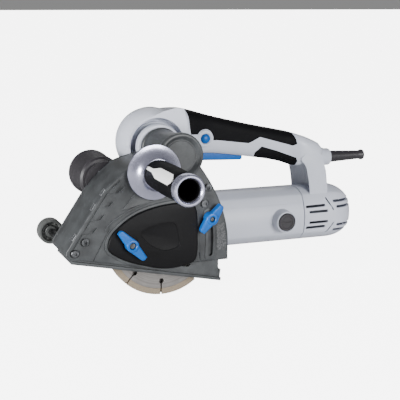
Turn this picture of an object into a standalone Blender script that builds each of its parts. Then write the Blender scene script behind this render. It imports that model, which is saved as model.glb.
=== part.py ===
"""Twin-disc wall chaser.

Tool coordinates: the spindle runs along Y through x = 0, z = 0, and the motor along X through
y = 0, z = 0. +X points back to the cord, +Y away from the side that carries the wing nuts, +Z up.
Everything hangs from one empty, tool_frame, which puts the origin under the middle of the tool.
"""

from math import cos, pi, radians, sin, tan

import bmesh
import bpy
from mathutils import Matrix, Vector

MM = 0.001
GAP = 0.3 * MM
AXES = {
    "X": Matrix.Rotation(pi / 2, 4, "Y"),
    "Y": Matrix.Rotation(-pi / 2, 4, "X"),
    "Z": Matrix.Identity(4),
}

# Cutting discs and spindle
DISC_RADIUS = 75 * MM
DISC_BORE = 11.1 * MM
DISC_NEAR_Y = -79 * MM
DISC_FAR_Y = -71 * MM
CORE_HALF = 0.9 * MM
SEGMENT_HALF = 1.2 * MM
SEGMENT_DEPTH = 8 * MM
SEGMENTS = 9
KEYHOLE_REACH = 57 * MM
SPINDLE_RADIUS = 6 * MM

# Guard
NEAR_Y = -110 * MM
FAR_Y = -39 * MM
WALL = 3 * MM
TRUNNION_X = 12 * MM
TRUNNION_Z = 112 * MM
TRUNNION_RADIUS = 25.5 * MM
LOBE_RADIUS = 30 * MM
LOBE_FACE_Y = -116 * MM

# Shoe, swinging about the roller axle
PIVOT_X = -124.6 * MM
PIVOT_Z = -1.4 * MM
SOLE_TILT = radians(-11.5)
SOLE_FRONT_X = -129 * MM
SOLE_FRONT_Z = -15 * MM
SOLE_LENGTH = 203 * MM
SOLE_THICK = 4 * MM
SHOE_WALL = 2.5 * MM
SWING = radians(15)
STUD_REACH = 179.5 * MM
STUD_ANGLE = radians(10.4)
SLOT_HALF = 3.6 * MM

# Motor and gear head
BARREL_RADIUS = 42 * MM
BARREL_WALL = 3 * MM
BARREL_FRONT_X = 62 * MM
SEAM_X = 228 * MM
TAIL_END_X = 321 * MM
GEAR_HEAD_RADIUS = 37 * MM
BRUSH_X = 196 * MM

# D-handle
DOME_RADIUS = 47 * MM
DOME_HALF = 28 * MM
GRIP_HALF = 20 * MM
LEG_HALF = 25 * MM
WIDTH_STEPS = (52 * MM, 90 * MM, 215 * MM, 235 * MM)
HANDLE_EDGE = 13 * MM
SHELL_WALL = 3 * MM
RUBBER = 2 * MM

# Auxiliary handle and dust outlet
AUX_X = -24.5 * MM
AUX_Z = 95.5 * MM
AUX_BORE = 13.6 * MM
AUX_END_Y = -240 * MM
OUTLET_X = -66 * MM
OUTLET_Z = 74 * MM

# Roller
ROLLER_RADIUS = 17 * MM

# Cord sleeve
SLEEVE_Z = 79 * MM
SLEEVE_END_X = 341 * MM

# Bores, studs and screws
AXLE_RADIUS = 3 * MM
STUD_RADIUS = 4 * MM
DEPTH_STUD_RADIUS = 3.2 * MM
SCREW_RADIUS = 2.5 * MM
NOSE_RADIUS = 24 * MM
AUX_BASE_Y = -117 * MM
AUX_BOSS = 19 * MM
COVER_FACE_Y = -114.5 * MM
HUB_OPENING = (-2 * MM, 10 * MM)
HUB_RADIUS = 34 * MM
GUARD_SCREWS = {
    "upper": (50.7 * MM, 70 * MM),
    "lower": (46 * MM, 49 * MM),
    "front": (-111.5 * MM, 12 * MM),
}
COVER_STUD = (-54.5 * MM, 5.5 * MM)
BUTTON = (82 * MM, 118 * MM)
TRIGGER_PIVOT = (138 * MM, 95 * MM)
LOCK_PLACE = (-16 * MM, 14 * MM)
HANDLE_SCREWS = ((-14 * MM, 138 * MM), (256 * MM, 60 * MM), (262 * MM, 0))
GEAR_TEETH = 31
PINION_TEETH = 9

ROLLER_FRONT_X = PIVOT_X - ROLLER_RADIUS
BRUSH_CAP_Y = 47 * MM
ORIGIN = Vector((
    -(ROLLER_FRONT_X + SLEEVE_END_X) / 2,
    -(AUX_END_Y + BRUSH_CAP_Y) / 2,
    DISC_RADIUS,
))

COLOURS = {
    "guard_grey": ("#5B5E60", 0.45, 0.3),
    "black_plastic": ("#242426", 0.5, 0.0),
    "silver_plastic": ("#BCC0C8", 0.38, 0.1),
    "soft_grip": ("#3A3A40", 0.75, 0.0),
    "blue_plastic": ("#1E9BDC", 0.35, 0.0),
    "bare_steel": ("#A9ABAD", 0.3, 1.0),
    "zinc_screw": ("#6E7072", 0.35, 1.0),
    "cast_aluminium": ("#8C9093", 0.5, 0.9),
    "disc_steel": ("#C4C0BB", 0.35, 0.9),
    "lamination": ("#5A5D60", 0.45, 0.9),
    "brass": ("#B8954A", 0.3, 1.0),
    "carbon": ("#2E2E30", 0.6, 0.0),
    "wheel_grey": ("#8F918F", 0.5, 0.1),
}


# ---------------------------------------------------------------- scene and materials


def clear_scene():
    for obj in list(bpy.data.objects):
        bpy.data.objects.remove(obj)


def new_collection(name):
    collection = bpy.data.collections.new(name)
    bpy.context.scene.collection.children.link(collection)
    return collection


def linear(channel):
    return channel / 12.92 if channel <= 0.04045 else ((channel + 0.055) / 1.055) ** 2.4


def material(name):
    found = bpy.data.materials.get(name)
    if found:
        return found
    code, roughness, metallic = COLOURS[name]
    colour = [linear(int(code[i : i + 2], 16) / 255) for i in (1, 3, 5)]
    made = bpy.data.materials.new(name)
    made.use_nodes = True
    shader = made.node_tree.nodes["Principled BSDF"]
    shader.inputs["Base Color"].default_value = (*colour, 1)
    shader.inputs["Roughness"].default_value = roughness
    shader.inputs["Metallic"].default_value = metallic
    return made


def linked(name, mesh):
    obj = bpy.data.objects.new(name, mesh)
    bpy.context.scene.collection.objects.link(obj)
    return obj


def finish_bmesh(name, bm):
    mesh = bpy.data.meshes.new(name)
    bm.to_mesh(mesh)
    bm.free()
    return linked(name, mesh)


def baked(obj, turn_out=True):
    """The object with its modifiers applied, its doubles merged and its faces pointing out.

    A Boolean's result already faces the right way, and turning it out would turn its hollows too.
    """
    graph = bpy.context.evaluated_depsgraph_get()
    mesh = bpy.data.meshes.new_from_object(obj.evaluated_get(graph))
    mesh.transform(obj.matrix_world)
    bm = bmesh.new()
    bm.from_mesh(mesh)
    bmesh.ops.remove_doubles(bm, verts=bm.verts, dist=1e-6)
    if turn_out:
        bmesh.ops.recalc_face_normals(bm, faces=bm.faces)
    bm.to_mesh(mesh)
    bm.free()
    name = obj.name
    bpy.data.objects.remove(obj)
    return linked(name, mesh)


# ---------------------------------------------------------------- shapes


def cylinder(name, axis, centre, radius, half, sides=24, end_radius=None):
    bm = bmesh.new()
    top = radius if end_radius is None else end_radius
    bmesh.ops.create_cone(
        bm,
        cap_ends=True,
        segments=sides,
        radius1=radius,
        radius2=top,
        depth=2 * half,
        matrix=Matrix.Translation(centre) @ AXES[axis],
    )
    return finish_bmesh(name, bm)


def box(name, low, high):
    low, high = Vector(low), Vector(high)
    bm = bmesh.new()
    size = Matrix.Diagonal((*(high - low), 1))
    bmesh.ops.create_cube(bm, size=1, matrix=Matrix.Translation((low + high) / 2) @ size)
    return finish_bmesh(name, bm)


def turned(name, axis, centre, profile, sides=32, ring=False):
    """A profile of (radius, place along the axis) spun round; a ring's profile is a closed loop."""
    mesh = bpy.data.meshes.new(name)
    count = len(profile)
    edges = [(i, i + 1) for i in range(count - 1)] + ([(count - 1, 0)] if ring else [])
    mesh.from_pydata([(radius, 0, along) for radius, along in profile], edges, [])
    obj = linked(name, mesh)
    obj.matrix_world = Matrix.Translation(centre) @ AXES[axis]
    spin = obj.modifiers.new("Spin", "SCREW")
    spin.steps = spin.render_steps = sides
    spin.use_merge_vertices = True
    spin.merge_threshold = 1e-5
    bpy.context.view_layer.update()
    return baked(obj)


def plate(name, loops, near, far, edge=0.0, inset=0.0, rounds=1):
    """Outlines in the XZ plane made solid from y = near to y = far; loops after the first are holes."""
    curve = bpy.data.curves.new(name, "CURVE")
    curve.dimensions = "2D"
    curve.fill_mode = "BOTH"
    curve.extrude = (far - near) / 2 - edge - inset
    curve.bevel_depth = edge
    curve.bevel_resolution = rounds
    curve.offset = -edge - inset
    for loop in loops:
        spline = curve.splines.new("POLY")
        spline.points.add(len(loop) - 1)
        for point, (x, z) in zip(spline.points, loop):
            point.co = (x, z, 0, 1)
        spline.use_cyclic_u = True
    obj = linked(name, curve)
    obj.matrix_world = Matrix.Translation((0, (near + far) / 2, 0)) @ Matrix.Rotation(pi / 2, 4, "X")
    bpy.context.view_layer.update()
    return baked(obj)


def combine(obj, other, operation):
    modifier = obj.modifiers.new("Combine", "BOOLEAN")
    modifier.operation = operation
    modifier.object = other
    result = baked(obj, turn_out=False)
    bpy.data.objects.remove(other)
    return result


def cut(obj, *others):
    for other in others:
        obj = combine(obj, other, "DIFFERENCE")
    return obj


def join(obj, *others):
    for other in others:
        obj = combine(obj, other, "UNION")
    return obj


# ---------------------------------------------------------------- outlines


def arc(centre, radius, start, end, count):
    """Points on an arc, its angles in degrees, both ends included."""
    steps = [radians(start + (end - start) * i / (count - 1)) for i in range(count)]
    return [(centre[0] + radius * cos(a), centre[1] + radius * sin(a)) for a in steps]


def millimetres(*points):
    return [(x * MM, z * MM) for x, z in points]


def smooth(points, per_span, closed=True):
    """A Catmull-Rom curve through the points."""
    count = len(points)
    spans = count if closed else count - 1
    result = []
    for i in range(spans):
        ids = [i - 1, i, i + 1, i + 2]
        ids = [j % count if closed else min(max(j, 0), count - 1) for j in ids]
        a, b, c, d = (Vector(points[j]) for j in ids)
        for k in range(per_span):
            t = k / per_span
            p = b + 0.5 * t * (c - a + t * (2 * a - 5 * b + 4 * c - d + t * (3 * (b - c) + d - a)))
            result.append(tuple(p))
    if not closed:
        result.append(tuple(points[-1]))
    return result


def grown(loop, distance):
    """A convex-ish outline moved outward by a distance, point by point along its normals."""
    area = sum(a[0] * b[1] - b[0] * a[1] for a, b in zip(loop, loop[1:] + loop[:1]))
    side = 1 if area > 0 else -1
    moved = []
    for before, here, after in zip(loop[-1:] + loop[:-1], loop, loop[1:] + loop[:1]):
        run = Vector(after) - Vector(before)
        normal = Vector((run.y, -run.x)).normalized() * side
        moved.append((here[0] + normal.x * distance, here[1] + normal.y * distance))
    return moved


def sole_height(x):
    """Height of the sole's underside at x."""
    return SOLE_FRONT_Z + (x - SOLE_FRONT_X) * tan(SOLE_TILT)


def guard_outline():
    """Side view of the guard, anticlockwise from its front bottom corner."""
    rise = SOLE_THICK / cos(SOLE_TILT) + 2.2 * MM
    bottom = [(x * MM, sole_height(x * MM) + rise) for x in (-130, -95, -30, -6)]
    step = millimetres((34, -27.5), (80, -27.5))
    rear = millimetres((80, -14), (79.5, 5), (76, 26), (68, 50), (55, 76), (41, 97))
    top = millimetres((12, 108), (-12, 110), (-38, 105), (-56, 99), (-71, 88), (-84, 76))
    front = millimetres((-98, 57), (-135, 1), (-136, -4))
    return bottom + step + smooth(rear, 2, False) + smooth(top, 2, False) + front


def cover_outline():
    points = millimetres(
        (-83, 2), (-77, 20), (-55, 38), (-30, 48), (0, 53), (24, 51), (34, 42), (36, 10),
        (35, -18), (27, -27), (8, -30.5), (-10, -30.5), (-30, -26), (-54, -18.5), (-73, -9),
    )
    return smooth(points, 2)


def handle_outline():
    """Side view of the D-handle's outside, anticlockwise from under the dome."""
    dome = (TRUNNION_X, 114 * MM)
    under = millimetres((54, 91), (66, 96), (88, 96.5), (120, 93), (176, 84), (206, 76))
    leg = millimetres((222, 67), (231, 52), (234, 30), (268, 30), (268, 66), (266, 92), (259, 103))
    top = millimetres((250, 107), (223, 117), (159, 131), (105, 144), (62, 156))
    under, top = smooth(under, 2, False), smooth(top, 2, False)
    return under + leg + top + arc(dome, DOME_RADIUS, 78, 325, 15)


# ---------------------------------------------------------------- guard group


def slot_loop(half, top_spare, bottom_spare, count=6):
    """An arc-shaped slot round the pivot for the depth stud."""
    high = STUD_ANGLE + top_spare / STUD_REACH
    low = STUD_ANGLE - SWING - bottom_spare / STUD_REACH

    def on_arc(reach, angle):
        return (PIVOT_X + reach * cos(angle), PIVOT_Z + reach * sin(angle))

    angles = [low + (high - low) * i / (count - 1) for i in range(count)]
    outer = [on_arc(STUD_REACH + half, angle) for angle in angles]
    inner = [on_arc(STUD_REACH - half, angle) for angle in reversed(angles)]
    top = arc(on_arc(STUD_REACH, high), half, 45, 135, 3)
    bottom = arc(on_arc(STUD_REACH, low), half, 225, 315, 3)
    return outer + top + inner + bottom


def hole(x, z, radius, y=NEAR_Y, half=9 * MM, sides=16):
    return cylinder("hole", "Y", (x, y, z), radius, half, sides)


def guard_housing():
    outline = guard_outline()
    inside = grown(outline, -WALL)
    open_below = [(x, z - 12 * MM) for x, z in inside[:6]] + inside[6:]
    body = plate("guard_housing", [outline], NEAR_Y, FAR_Y - WALL - GAP)
    body = cut(body, plate("cavity", [open_below], NEAR_Y + WALL, FAR_Y + WALL))
    lobe_half = (NEAR_Y + WALL / 2 - LOBE_FACE_Y) / 2
    lobe_y = LOBE_FACE_Y + lobe_half
    boss_half = (NEAR_Y + WALL / 2 - AUX_BASE_Y) / 2
    rim = plate("rim", [grown(cover_outline(), 3 * MM)], NEAR_Y - 2 * MM, NEAR_Y + MM)
    rim = combine(rim, plate("clip", [outline], NEAR_Y - 5 * MM, NEAR_Y + 5 * MM), "INTERSECT")
    body = join(
        body,
        rim,
        cylinder("lobe", "Y", (TRUNNION_X, lobe_y, TRUNNION_Z), LOBE_RADIUS, lobe_half, 28),
        cylinder("boss", "Y", (AUX_X, AUX_BASE_Y + boss_half, AUX_Z), AUX_BOSS, boss_half, 24),
        plate("border", [slot_loop(7 * MM, 5 * MM, 4 * MM)], NEAR_Y - 1.5 * MM, NEAR_Y + MM),
    )
    run = NEAR_Y + WALL
    room_half = (FAR_Y + 5 * MM - run) / 2
    room_y = run + room_half
    seat = plate("seat", [grown(cover_outline(), 0.4 * MM)], NEAR_Y - 4 * MM, NEAR_Y + 0.1 * MM)
    slot = plate("slot", [slot_loop(SLOT_HALF, MM, MM)], NEAR_Y - 4 * MM, NEAR_Y + 6 * MM)
    return cut(
        body,
        hole(TRUNNION_X, TRUNNION_Z, TRUNNION_RADIUS + GAP, room_y, room_half, 32),
        seat,
        slot,
        cylinder("dish", "Y", (TRUNNION_X, LOBE_FACE_Y, TRUNNION_Z), 20 * MM, 3 * MM, 24),
        hole(*HUB_OPENING, HUB_RADIUS, sides=28),
        hole(AUX_X, AUX_Z, AUX_BORE, half=14 * MM, sides=24),
        hole(PIVOT_X, PIVOT_Z, AXLE_RADIUS + GAP, sides=12),
        hole(*COVER_STUD, STUD_RADIUS + GAP, sides=12),
        *[hole(x, z, SCREW_RADIUS + GAP, sides=10) for x, z in GUARD_SCREWS.values()],
    )


def guard_back_plate():
    body = plate("guard_back_plate", [guard_outline()], FAR_Y - WALL, FAR_Y)
    middle = FAR_Y - WALL / 2
    ear = cylinder("ear", "Y", (OUTLET_X, middle, OUTLET_Z), 24 * MM, WALL / 2, 24)
    return cut(
        join(body, ear),
        hole(OUTLET_X + 5 * MM, OUTLET_Z - 3 * MM, 13 * MM, middle, sides=20),
        hole(0, 0, NOSE_RADIUS + 2 * GAP, middle, sides=32),
        hole(PIVOT_X, PIVOT_Z, AXLE_RADIUS + GAP, middle, sides=12),
        hole(TRUNNION_X, TRUNNION_Z, TRUNNION_RADIUS + GAP, middle, sides=32),
        box("barrel_notch", (52 * MM, FAR_Y - 9 * MM, -21 * MM), (95 * MM, FAR_Y + 9 * MM, 21 * MM)),
    )


def handle_trunnion():
    return turned("handle_trunnion", "Y", (TRUNNION_X, 0, TRUNNION_Z), millimetres(
        (0, -106.7), (24.5, -106.7), (25.5, -105.7), (25.5, -27), (21, -27), (21, 14), (0, 14),
    ))


def trunnion_collar():
    return turned("trunnion_collar", "Y", (TRUNNION_X, 0, TRUNNION_Z), millimetres(
        (25.8, -37), (30.5, -36), (30.5, -27), (25.8, -27),
    ), ring=True)


def dust_adapter():
    return turned("dust_adapter", "Y", (OUTLET_X, 0, OUTLET_Z), millimetres(
        (17.5, -38.7), (22, -38.7), (22, -33), (26, -32), (28.5, -29), (28.5, 19), (29.5, 20),
        (29.5, 24), (25, 24), (25, -28), (17.5, -31),
    ), sides=24, ring=True)


def aux_handle_core():
    return turned("aux_handle_core", "Y", (AUX_X, 0, AUX_Z), millimetres(
        (13.6, -117.3), (33.6, -117.3), (34.6, -118.5), (34.2, -119.8), (27, -121.5),
        (21.5, -124.5), (18, -128), (16, -132), (16, -227.7), (17.8, -228), (19, -229.5),
        (19.1, -238), (17.6, -240), (14.4, -240), (13.6, -238.5),
    ), sides=24, ring=True)


def aux_handle_grip():
    return turned("aux_handle_grip", "Y", (AUX_X, 0, AUX_Z), millimetres(
        (16.3, -132.5), (17.6, -132.5), (18.6, -150), (19, -180), (18.4, -210), (17.4, -227.3),
        (16.3, -227.3),
    ), sides=24, ring=True)


def roller_axle():
    return turned("roller_axle", "Y", (PIVOT_X, 0, PIVOT_Z), millimetres(
        (0, -113.5), (4.6, -113.5), (5, -113), (5, -110.3), (3, -110.3), (3, -38.7),
        (4.6, -38.7), (4.6, 7.7), (3, 7.7), (3, 24.3), (5, 24.3), (5, 27.4), (4, 28), (0, 28),
    ), sides=16)


def roller_wheel():
    return turned("roller_wheel", "Y", (PIVOT_X, 0, PIVOT_Z), millimetres(
        (3.3, 10), (7, 10), (7, 12), (12.5, 12), (12.5, 8), (15.5, 8), (17, 9.5), (17, 22.5),
        (15.5, 24), (3.3, 24),
    ), sides=24, ring=True)


def guard_screws():
    return [
        turned(f"guard_screw_{place}", "Y", (x, 0, z), millimetres(
            (0, -113.3), (4, -113.3), (4.8, -112.6), (4.8, -110.3), (2.5, -110.3), (2.5, -101),
            (0, -101),
        ), sides=12)
        for place, (x, z) in GUARD_SCREWS.items()
    ]


def cover_stud():
    x, z = COVER_STUD
    return turned("cover_stud", "Y", (x, 0, z), millimetres(
        (0, -121), (3.6, -121), (4, -120.5), (4, -106.7), (7, -106.7), (7, -103), (0, -103),
    ), sides=16)


# ---------------------------------------------------------------- shoe group


def stud_place():
    return (PIVOT_X + STUD_REACH * cos(STUD_ANGLE), PIVOT_Z + STUD_REACH * sin(STUD_ANGLE))


def shoe_wall(name, near, far, arm):
    """Side wall along the sole, with a lug on the axle and, on the near side, an arm to the stud."""
    top = SOLE_THICK / cos(SOLE_TILT)
    first, last = SOLE_FRONT_X + 2 * MM, SOLE_FRONT_X + SOLE_LENGTH * cos(SOLE_TILT) - 2 * MM
    height = 9 * MM
    low_edge = [(x, sole_height(x) + top / 2) for x in (first, last)]
    if arm:
        crown = arc(stud_place(), 10 * MM, 0, 180, 7)
        high_edge = millimetres((68, -20)) + crown + millimetres((40, -22))
    else:
        high_edge = [(last, sole_height(last) + top + height)]
    inner = [(x, sole_height(x) + top + height) for x in (26 * MM, -100 * MM)]
    lug = arc((PIVOT_X, PIVOT_Z), 6.2 * MM, 40, 180, 6)
    return plate(name, [low_edge + high_edge + inner + lug], near, far)


def shoe():
    wall_near = NEAR_Y + WALL + GAP
    wall_far = FAR_Y - WALL - GAP
    run, rise = cos(SOLE_TILT), sin(SOLE_TILT)
    x0, z0 = SOLE_FRONT_X, SOLE_FRONT_Z
    x1, z1 = x0 + SOLE_LENGTH * run, z0 + SOLE_LENGTH * rise
    lift = SOLE_THICK
    back = (x1 - lift * rise, z1 + lift * run)
    strip = [(x0, z0), (x1, z1), back, (x0 - lift * rise, z0 + lift * run)]
    body = plate("shoe", [strip], NEAR_Y, FAR_Y)
    lip = [(x1 + across * MM, z1 + up * MM) for across, up in ((-3, 1), (0, 1), (2, 14), (-1, 14))]
    body = join(
        body,
        shoe_wall("near_wall", wall_near, wall_near + SHOE_WALL, True),
        shoe_wall("far_wall", wall_far - SHOE_WALL, wall_far, False),
        plate("lip", [lip], wall_near + MM, wall_far - MM),
    )
    middle = SOLE_LENGTH * 0.62
    slot_x, slot_z = x0 + middle * run, z0 + middle * rise
    along = Matrix.Rotation(-SOLE_TILT, 4, "Y")
    gap = box("disc_slot", (-68 * MM, -17 * MM, -9 * MM), (68 * MM, 17 * MM, 9 * MM))
    gap.matrix_world = Matrix.Translation((slot_x, (DISC_NEAR_Y + DISC_FAR_Y) / 2, slot_z)) @ along
    bpy.context.view_layer.update()
    return cut(
        body,
        baked(gap),
        hole(PIVOT_X, PIVOT_Z, AXLE_RADIUS + GAP, -75 * MM, 50 * MM, 12),
        hole(*stud_place(), DEPTH_STUD_RADIUS + GAP, sides=12),
    )


def depth_stud():
    x, z = stud_place()
    return turned("depth_stud", "Y", (x, 0, z), millimetres(
        (0, -120), (2.8, -120), (3.2, -119.5), (3.2, -103.9), (7, -103.9), (7, -101), (0, -101),
    ), sides=16)


def wing_nut(name, place, bore, front, back, span, angle):
    """Two offset wings on a round hub, its bore open at both ends; lengths in mm, the angle in degrees."""
    x, z = place
    middle = (front + back) / 2 * MM
    body = cylinder(name, "Y", (x, middle, z), 8 * MM, (back - front) / 2 * MM, 24)
    half = span / 2
    wing = [(half, 1.5), *arc((half - 4, -2), 4, 45, -90, 5)[1:], (9, -7), (3, -7.8)]
    loop = millimetres(*wing, *[(-across, -up) for across, up in wing])
    turn = Matrix.Rotation(radians(angle), 2)
    loop = [tuple(turn @ Vector(point) + Vector(place)) for point in loop]
    wings = plate("wings", [loop], (front + 1) * MM, (back - 3) * MM)
    return cut(join(body, wings), hole(x, z, bore * MM, middle, 20 * MM, 16))


def access_cover():
    body = plate("access_cover", [cover_outline()], COVER_FACE_Y, NEAR_Y - GAP, edge=1.5 * MM, rounds=0)
    skirt = hole(*HUB_OPENING, HUB_RADIUS - MM, NEAR_Y + 0.6 * MM, 2 * MM, 28)
    return cut(join(body, skirt), hole(*COVER_STUD, STUD_RADIUS + GAP, sides=12))


# ---------------------------------------------------------------- spindle group


def disc(name, y, phase):
    """Steel core with a segmented diamond rim; the phase turns its keyhole slots, in degrees."""
    ring = turned(name, "Y", (0, y, 0), [
        (DISC_BORE, CORE_HALF), (DISC_BORE, -CORE_HALF), (DISC_RADIUS - SEGMENT_DEPTH, -CORE_HALF),
        (DISC_RADIUS - SEGMENT_DEPTH, -SEGMENT_HALF), (DISC_RADIUS, -SEGMENT_HALF),
        (DISC_RADIUS, SEGMENT_HALF), (DISC_RADIUS - SEGMENT_DEPTH, SEGMENT_HALF),
        (DISC_RADIUS - SEGMENT_DEPTH, CORE_HALF),
    ], sides=36, ring=True)
    cutters = []
    for index in range(SEGMENTS):
        turn = Matrix.Rotation(radians(phase) + 2 * pi * index / SEGMENTS, 4, "Y")
        reach = (KEYHOLE_REACH + DISC_RADIUS + 2 * MM) / 2
        slit = box("slit", (-MM, y - 3 * MM, -reach - 10 * MM), (MM, y + 3 * MM, 10 * MM - reach))
        slit.matrix_world = turn
        eye = hole(0, -KEYHOLE_REACH, 3.2 * MM, y, 3 * MM, 8)
        eye.matrix_world = turn
        bpy.context.view_layer.update()
        cutters.append(join(baked(slit), baked(eye)))
    return cut(ring, *cutters)


def inner_flange():
    return turned("inner_flange", "Y", (0, 0, 0), millimetres(
        (6.3, -69.8), (22, -69.8), (22, -65), (14, -62), (6.3, -62),
    ), sides=24, ring=True)


def disc_spacer():
    """Ring that keeps the discs apart, with a bush that centres them on the spindle."""
    return turned("disc_spacer", "Y", (0, 0, 0), millimetres(
        (6.3, -80.2), (10.8, -80.2), (10.8, -77.8), (22, -77.8), (22, -72.2), (10.8, -72.2),
        (10.8, -70.5), (6.3, -70.5),
    ), sides=24, ring=True)


def spindle_shaft():
    return turned("spindle_shaft", "Y", (0, 0, 0), millimetres(
        (0, -104), (5.2, -104), (6, -103), (6, 26), (0, 26),
    ), sides=24)


def outer_flange():
    return turned("outer_flange", "Y", (0, 0, 0), millimetres(
        (6.3, -88), (14, -88), (16, -86), (22, -84.5), (22, -80.5), (6.3, -80.5),
    ), sides=24, ring=True)


def spindle_nut():
    nut = cylinder("spindle_nut", "Y", (0, -94.5 * MM, 0), 11 * MM, 6 * MM, 6)
    return cut(nut, hole(0, 0, 6.3 * MM, -94.5 * MM, 12 * MM, 20))


def toothed(name, axis, teeth, bore, rings):
    """A toothed ring along an axis, in mm; each ring of points is (place, outer radius, root radius)."""
    bm = bmesh.new()
    angles = [2 * pi * (i + part) / teeth for i in range(teeth) for part in (0.2, 0.5, 0.8)]
    high = [True, True, False] * teeth
    turn = AXES[axis]

    def points(radii, along):
        return [
            bm.verts.new(turn @ (Vector((r * cos(a), r * sin(a), along)) * MM))
            for r, a in zip(radii, angles)
        ]

    outside = [points([top if up else root for up in high], at) for at, top, root in rings]
    loops = outside + [points([bore] * len(angles), at) for at in (rings[-1][0], rings[0][0])]
    for here, after in zip(loops, loops[1:] + loops[:1]):
        for i in range(len(angles)):
            j = (i + 1) % len(angles)
            bm.faces.new((here[i], here[j], after[j], after[i]))
    bmesh.ops.recalc_face_normals(bm, faces=bm.faces)
    return finish_bmesh(name, bm)


def drive_gear():
    return toothed("drive_gear", "Y", GEAR_TEETH, 6.3, [
        (-19, 25.5, 24.5), (-9.8, 25, 23.2), (-6.6, 15.5, 15),
    ])


# ---------------------------------------------------------------- gear head and motor


def gear_head():
    body = join(
        cylinder("gear_head", "Y", (0, -3.35 * MM, 0), 36 * MM, 35.35 * MM, 28),
        cylinder("neck", "X", (41.7 * MM, 0, 0), GEAR_HEAD_RADIUS, 20 * MM, 28),
        cylinder("flange", "X", (59.2 * MM, 0, 0), 41.7 * MM, 2.5 * MM, 28),
    )
    screws = [
        cutter
        for y, z in motor_screw_places()
        for cutter in (
            cylinder("hole", "X", (60 * MM, y, z), 2.8 * MM, 8 * MM, 8),
            cylinder("seat", "X", (46.7 * MM, y, z), 5 * MM, 10 * MM, 8),
        )
    ]
    return cut(
        body,
        cylinder("well", "Y", (0, -7.5 * MM, 0), 32 * MM, 35.5 * MM, 24),
        cylinder("bore", "X", (37 * MM, 0, 0), 28 * MM, 26 * MM, 20),
        hole(*LOCK_PLACE, 5.3 * MM, 30 * MM, 8 * MM, 16),
        *screws,
    )


def motor_screw_places():
    reach = 35 * MM
    return [(reach * cos(a), reach * sin(a)) for a in (radians(45 + 90 * i) for i in range(4))]


def gear_head_screws():
    return [
        turned(f"gear_head_screw_{i + 1}", "X", (0, y, z), millimetres(
            (0, 75), (2.4, 75), (2.4, 56.4), (4.4, 56.4), (4.4, 53), (0, 53),
        ), sides=8)
        for i, (y, z) in enumerate(motor_screw_places())
    ]


def bearing_flange():
    return turned("bearing_flange", "Y", (0, 0, 0), millimetres(
        (7.5, -56), (23, -56), (24, -55), (24, -38.7), (31.7, -38.7), (31.7, -32), (12, -32),
        (12, -40), (16.3, -40), (16.3, -53), (7.5, -53),
    ), sides=24, ring=True)


def bearing(name, axis, inner, outer, start, end):
    return turned(name, axis, (0, 0, 0), millimetres(
        (inner, start), (outer, start), (outer, end), (inner, end),
    ), sides=20, ring=True)


def bearing_shield():
    body = turned("bearing_shield", "X", (0, 0, 0), millimetres(
        (15.3, 62.3), (38.6, 62.3), (38.6, 66), (19, 66), (19, 75), (6, 75), (6, 71.6), (15.3, 71.6),
    ), sides=24, ring=True)
    return cut(body, *[
        cylinder("hole", "X", (66 * MM, y, z), 2.8 * MM, 8 * MM, 8) for y, z in motor_screw_places()
    ])


def rear_bracket():
    return turned("rear_bearing_bracket", "X", (0, 0, 0), millimetres(
        (11.3, 213), (15, 213), (15, 218), (38.6, 218), (38.6, 221), (15, 224), (6, 224), (6, 222.3),
        (11.3, 222.3),
    ), sides=24, ring=True)


def motor_housing():
    middle = ((BARREL_FRONT_X + SEAM_X - GAP) / 2, 0, 0)
    half = (SEAM_X - GAP - BARREL_FRONT_X) / 2
    body = join(
        cylinder("motor_housing", "X", middle, BARREL_RADIUS, half, 32),
        cylinder("bosses", "Y", (BRUSH_X, 0, 0), 14 * MM, 46 * MM, 24),
    )
    wells = [hole(BRUSH_X, 0, 11.3 * MM, y, 5 * MM, 24) for y in (-48 * MM, 48 * MM)]
    inside = cylinder("inside", "X", middle, BARREL_RADIUS - BARREL_WALL, half + 5 * MM, 32)
    return cut(body, inside, hole(BRUSH_X, 0, 5.5 * MM, 0, 60 * MM, 12), *wells)


def brush_cap(name, side):
    return turned(name, "Y", (BRUSH_X, 0, 0), [
        (r * MM, side * along * MM) for r, along in
        ((0, 47), (9.8, 47), (11, 45.8), (11, 43.3), (5.2, 43.3), (5.2, 33), (0, 33))
    ], sides=24)


def brush(name, side):
    low, high = sorted((side * 13.4 * MM, side * 31 * MM))
    return box(name, (BRUSH_X - 4 * MM, low, -3 * MM), (BRUSH_X + 4 * MM, high, 3 * MM))


def field_stator():
    return turned("field_stator", "X", (0, 0, 0), millimetres(
        (24.5, 96), (38.6, 96), (38.6, 160), (24.5, 160),
    ), sides=24, ring=True)


# ---------------------------------------------------------------- D-handle


def width_at(x):
    """Half width of the D-handle at x: a broad dome, a slim grip and a broader leg."""
    dome_end, grip_start, grip_end, leg_start = WIDTH_STEPS
    if x < dome_end:
        return DOME_HALF
    if x < grip_start:
        return DOME_HALF + (GRIP_HALF - DOME_HALF) * (x - dome_end) / (grip_start - dome_end)
    if x < grip_end:
        return GRIP_HALF
    return min(LEG_HALF, GRIP_HALF + (LEG_HALF - GRIP_HALF) * (x - grip_end) / (leg_start - grip_end))


def handle_body(name, inset=0.0):
    """The handle's rounded outside, or the same shape shrunk by a wall thickness."""
    body = plate(name, [handle_outline()], -DOME_HALF, DOME_HALF, HANDLE_EDGE - inset, inset)
    bm = bmesh.new()
    bm.from_mesh(body.data)
    for x in WIDTH_STEPS:
        everything = bm.verts[:] + bm.edges[:] + bm.faces[:]
        bmesh.ops.bisect_plane(bm, geom=everything, plane_co=(x, 0, 0), plane_no=(1, 0, 0))
    bm.to_mesh(body.data)
    bm.free()
    full = DOME_HALF - inset
    for vertex in body.data.vertices:
        vertex.co.y *= (width_at(vertex.co.x) - inset) / full
    return body


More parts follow.
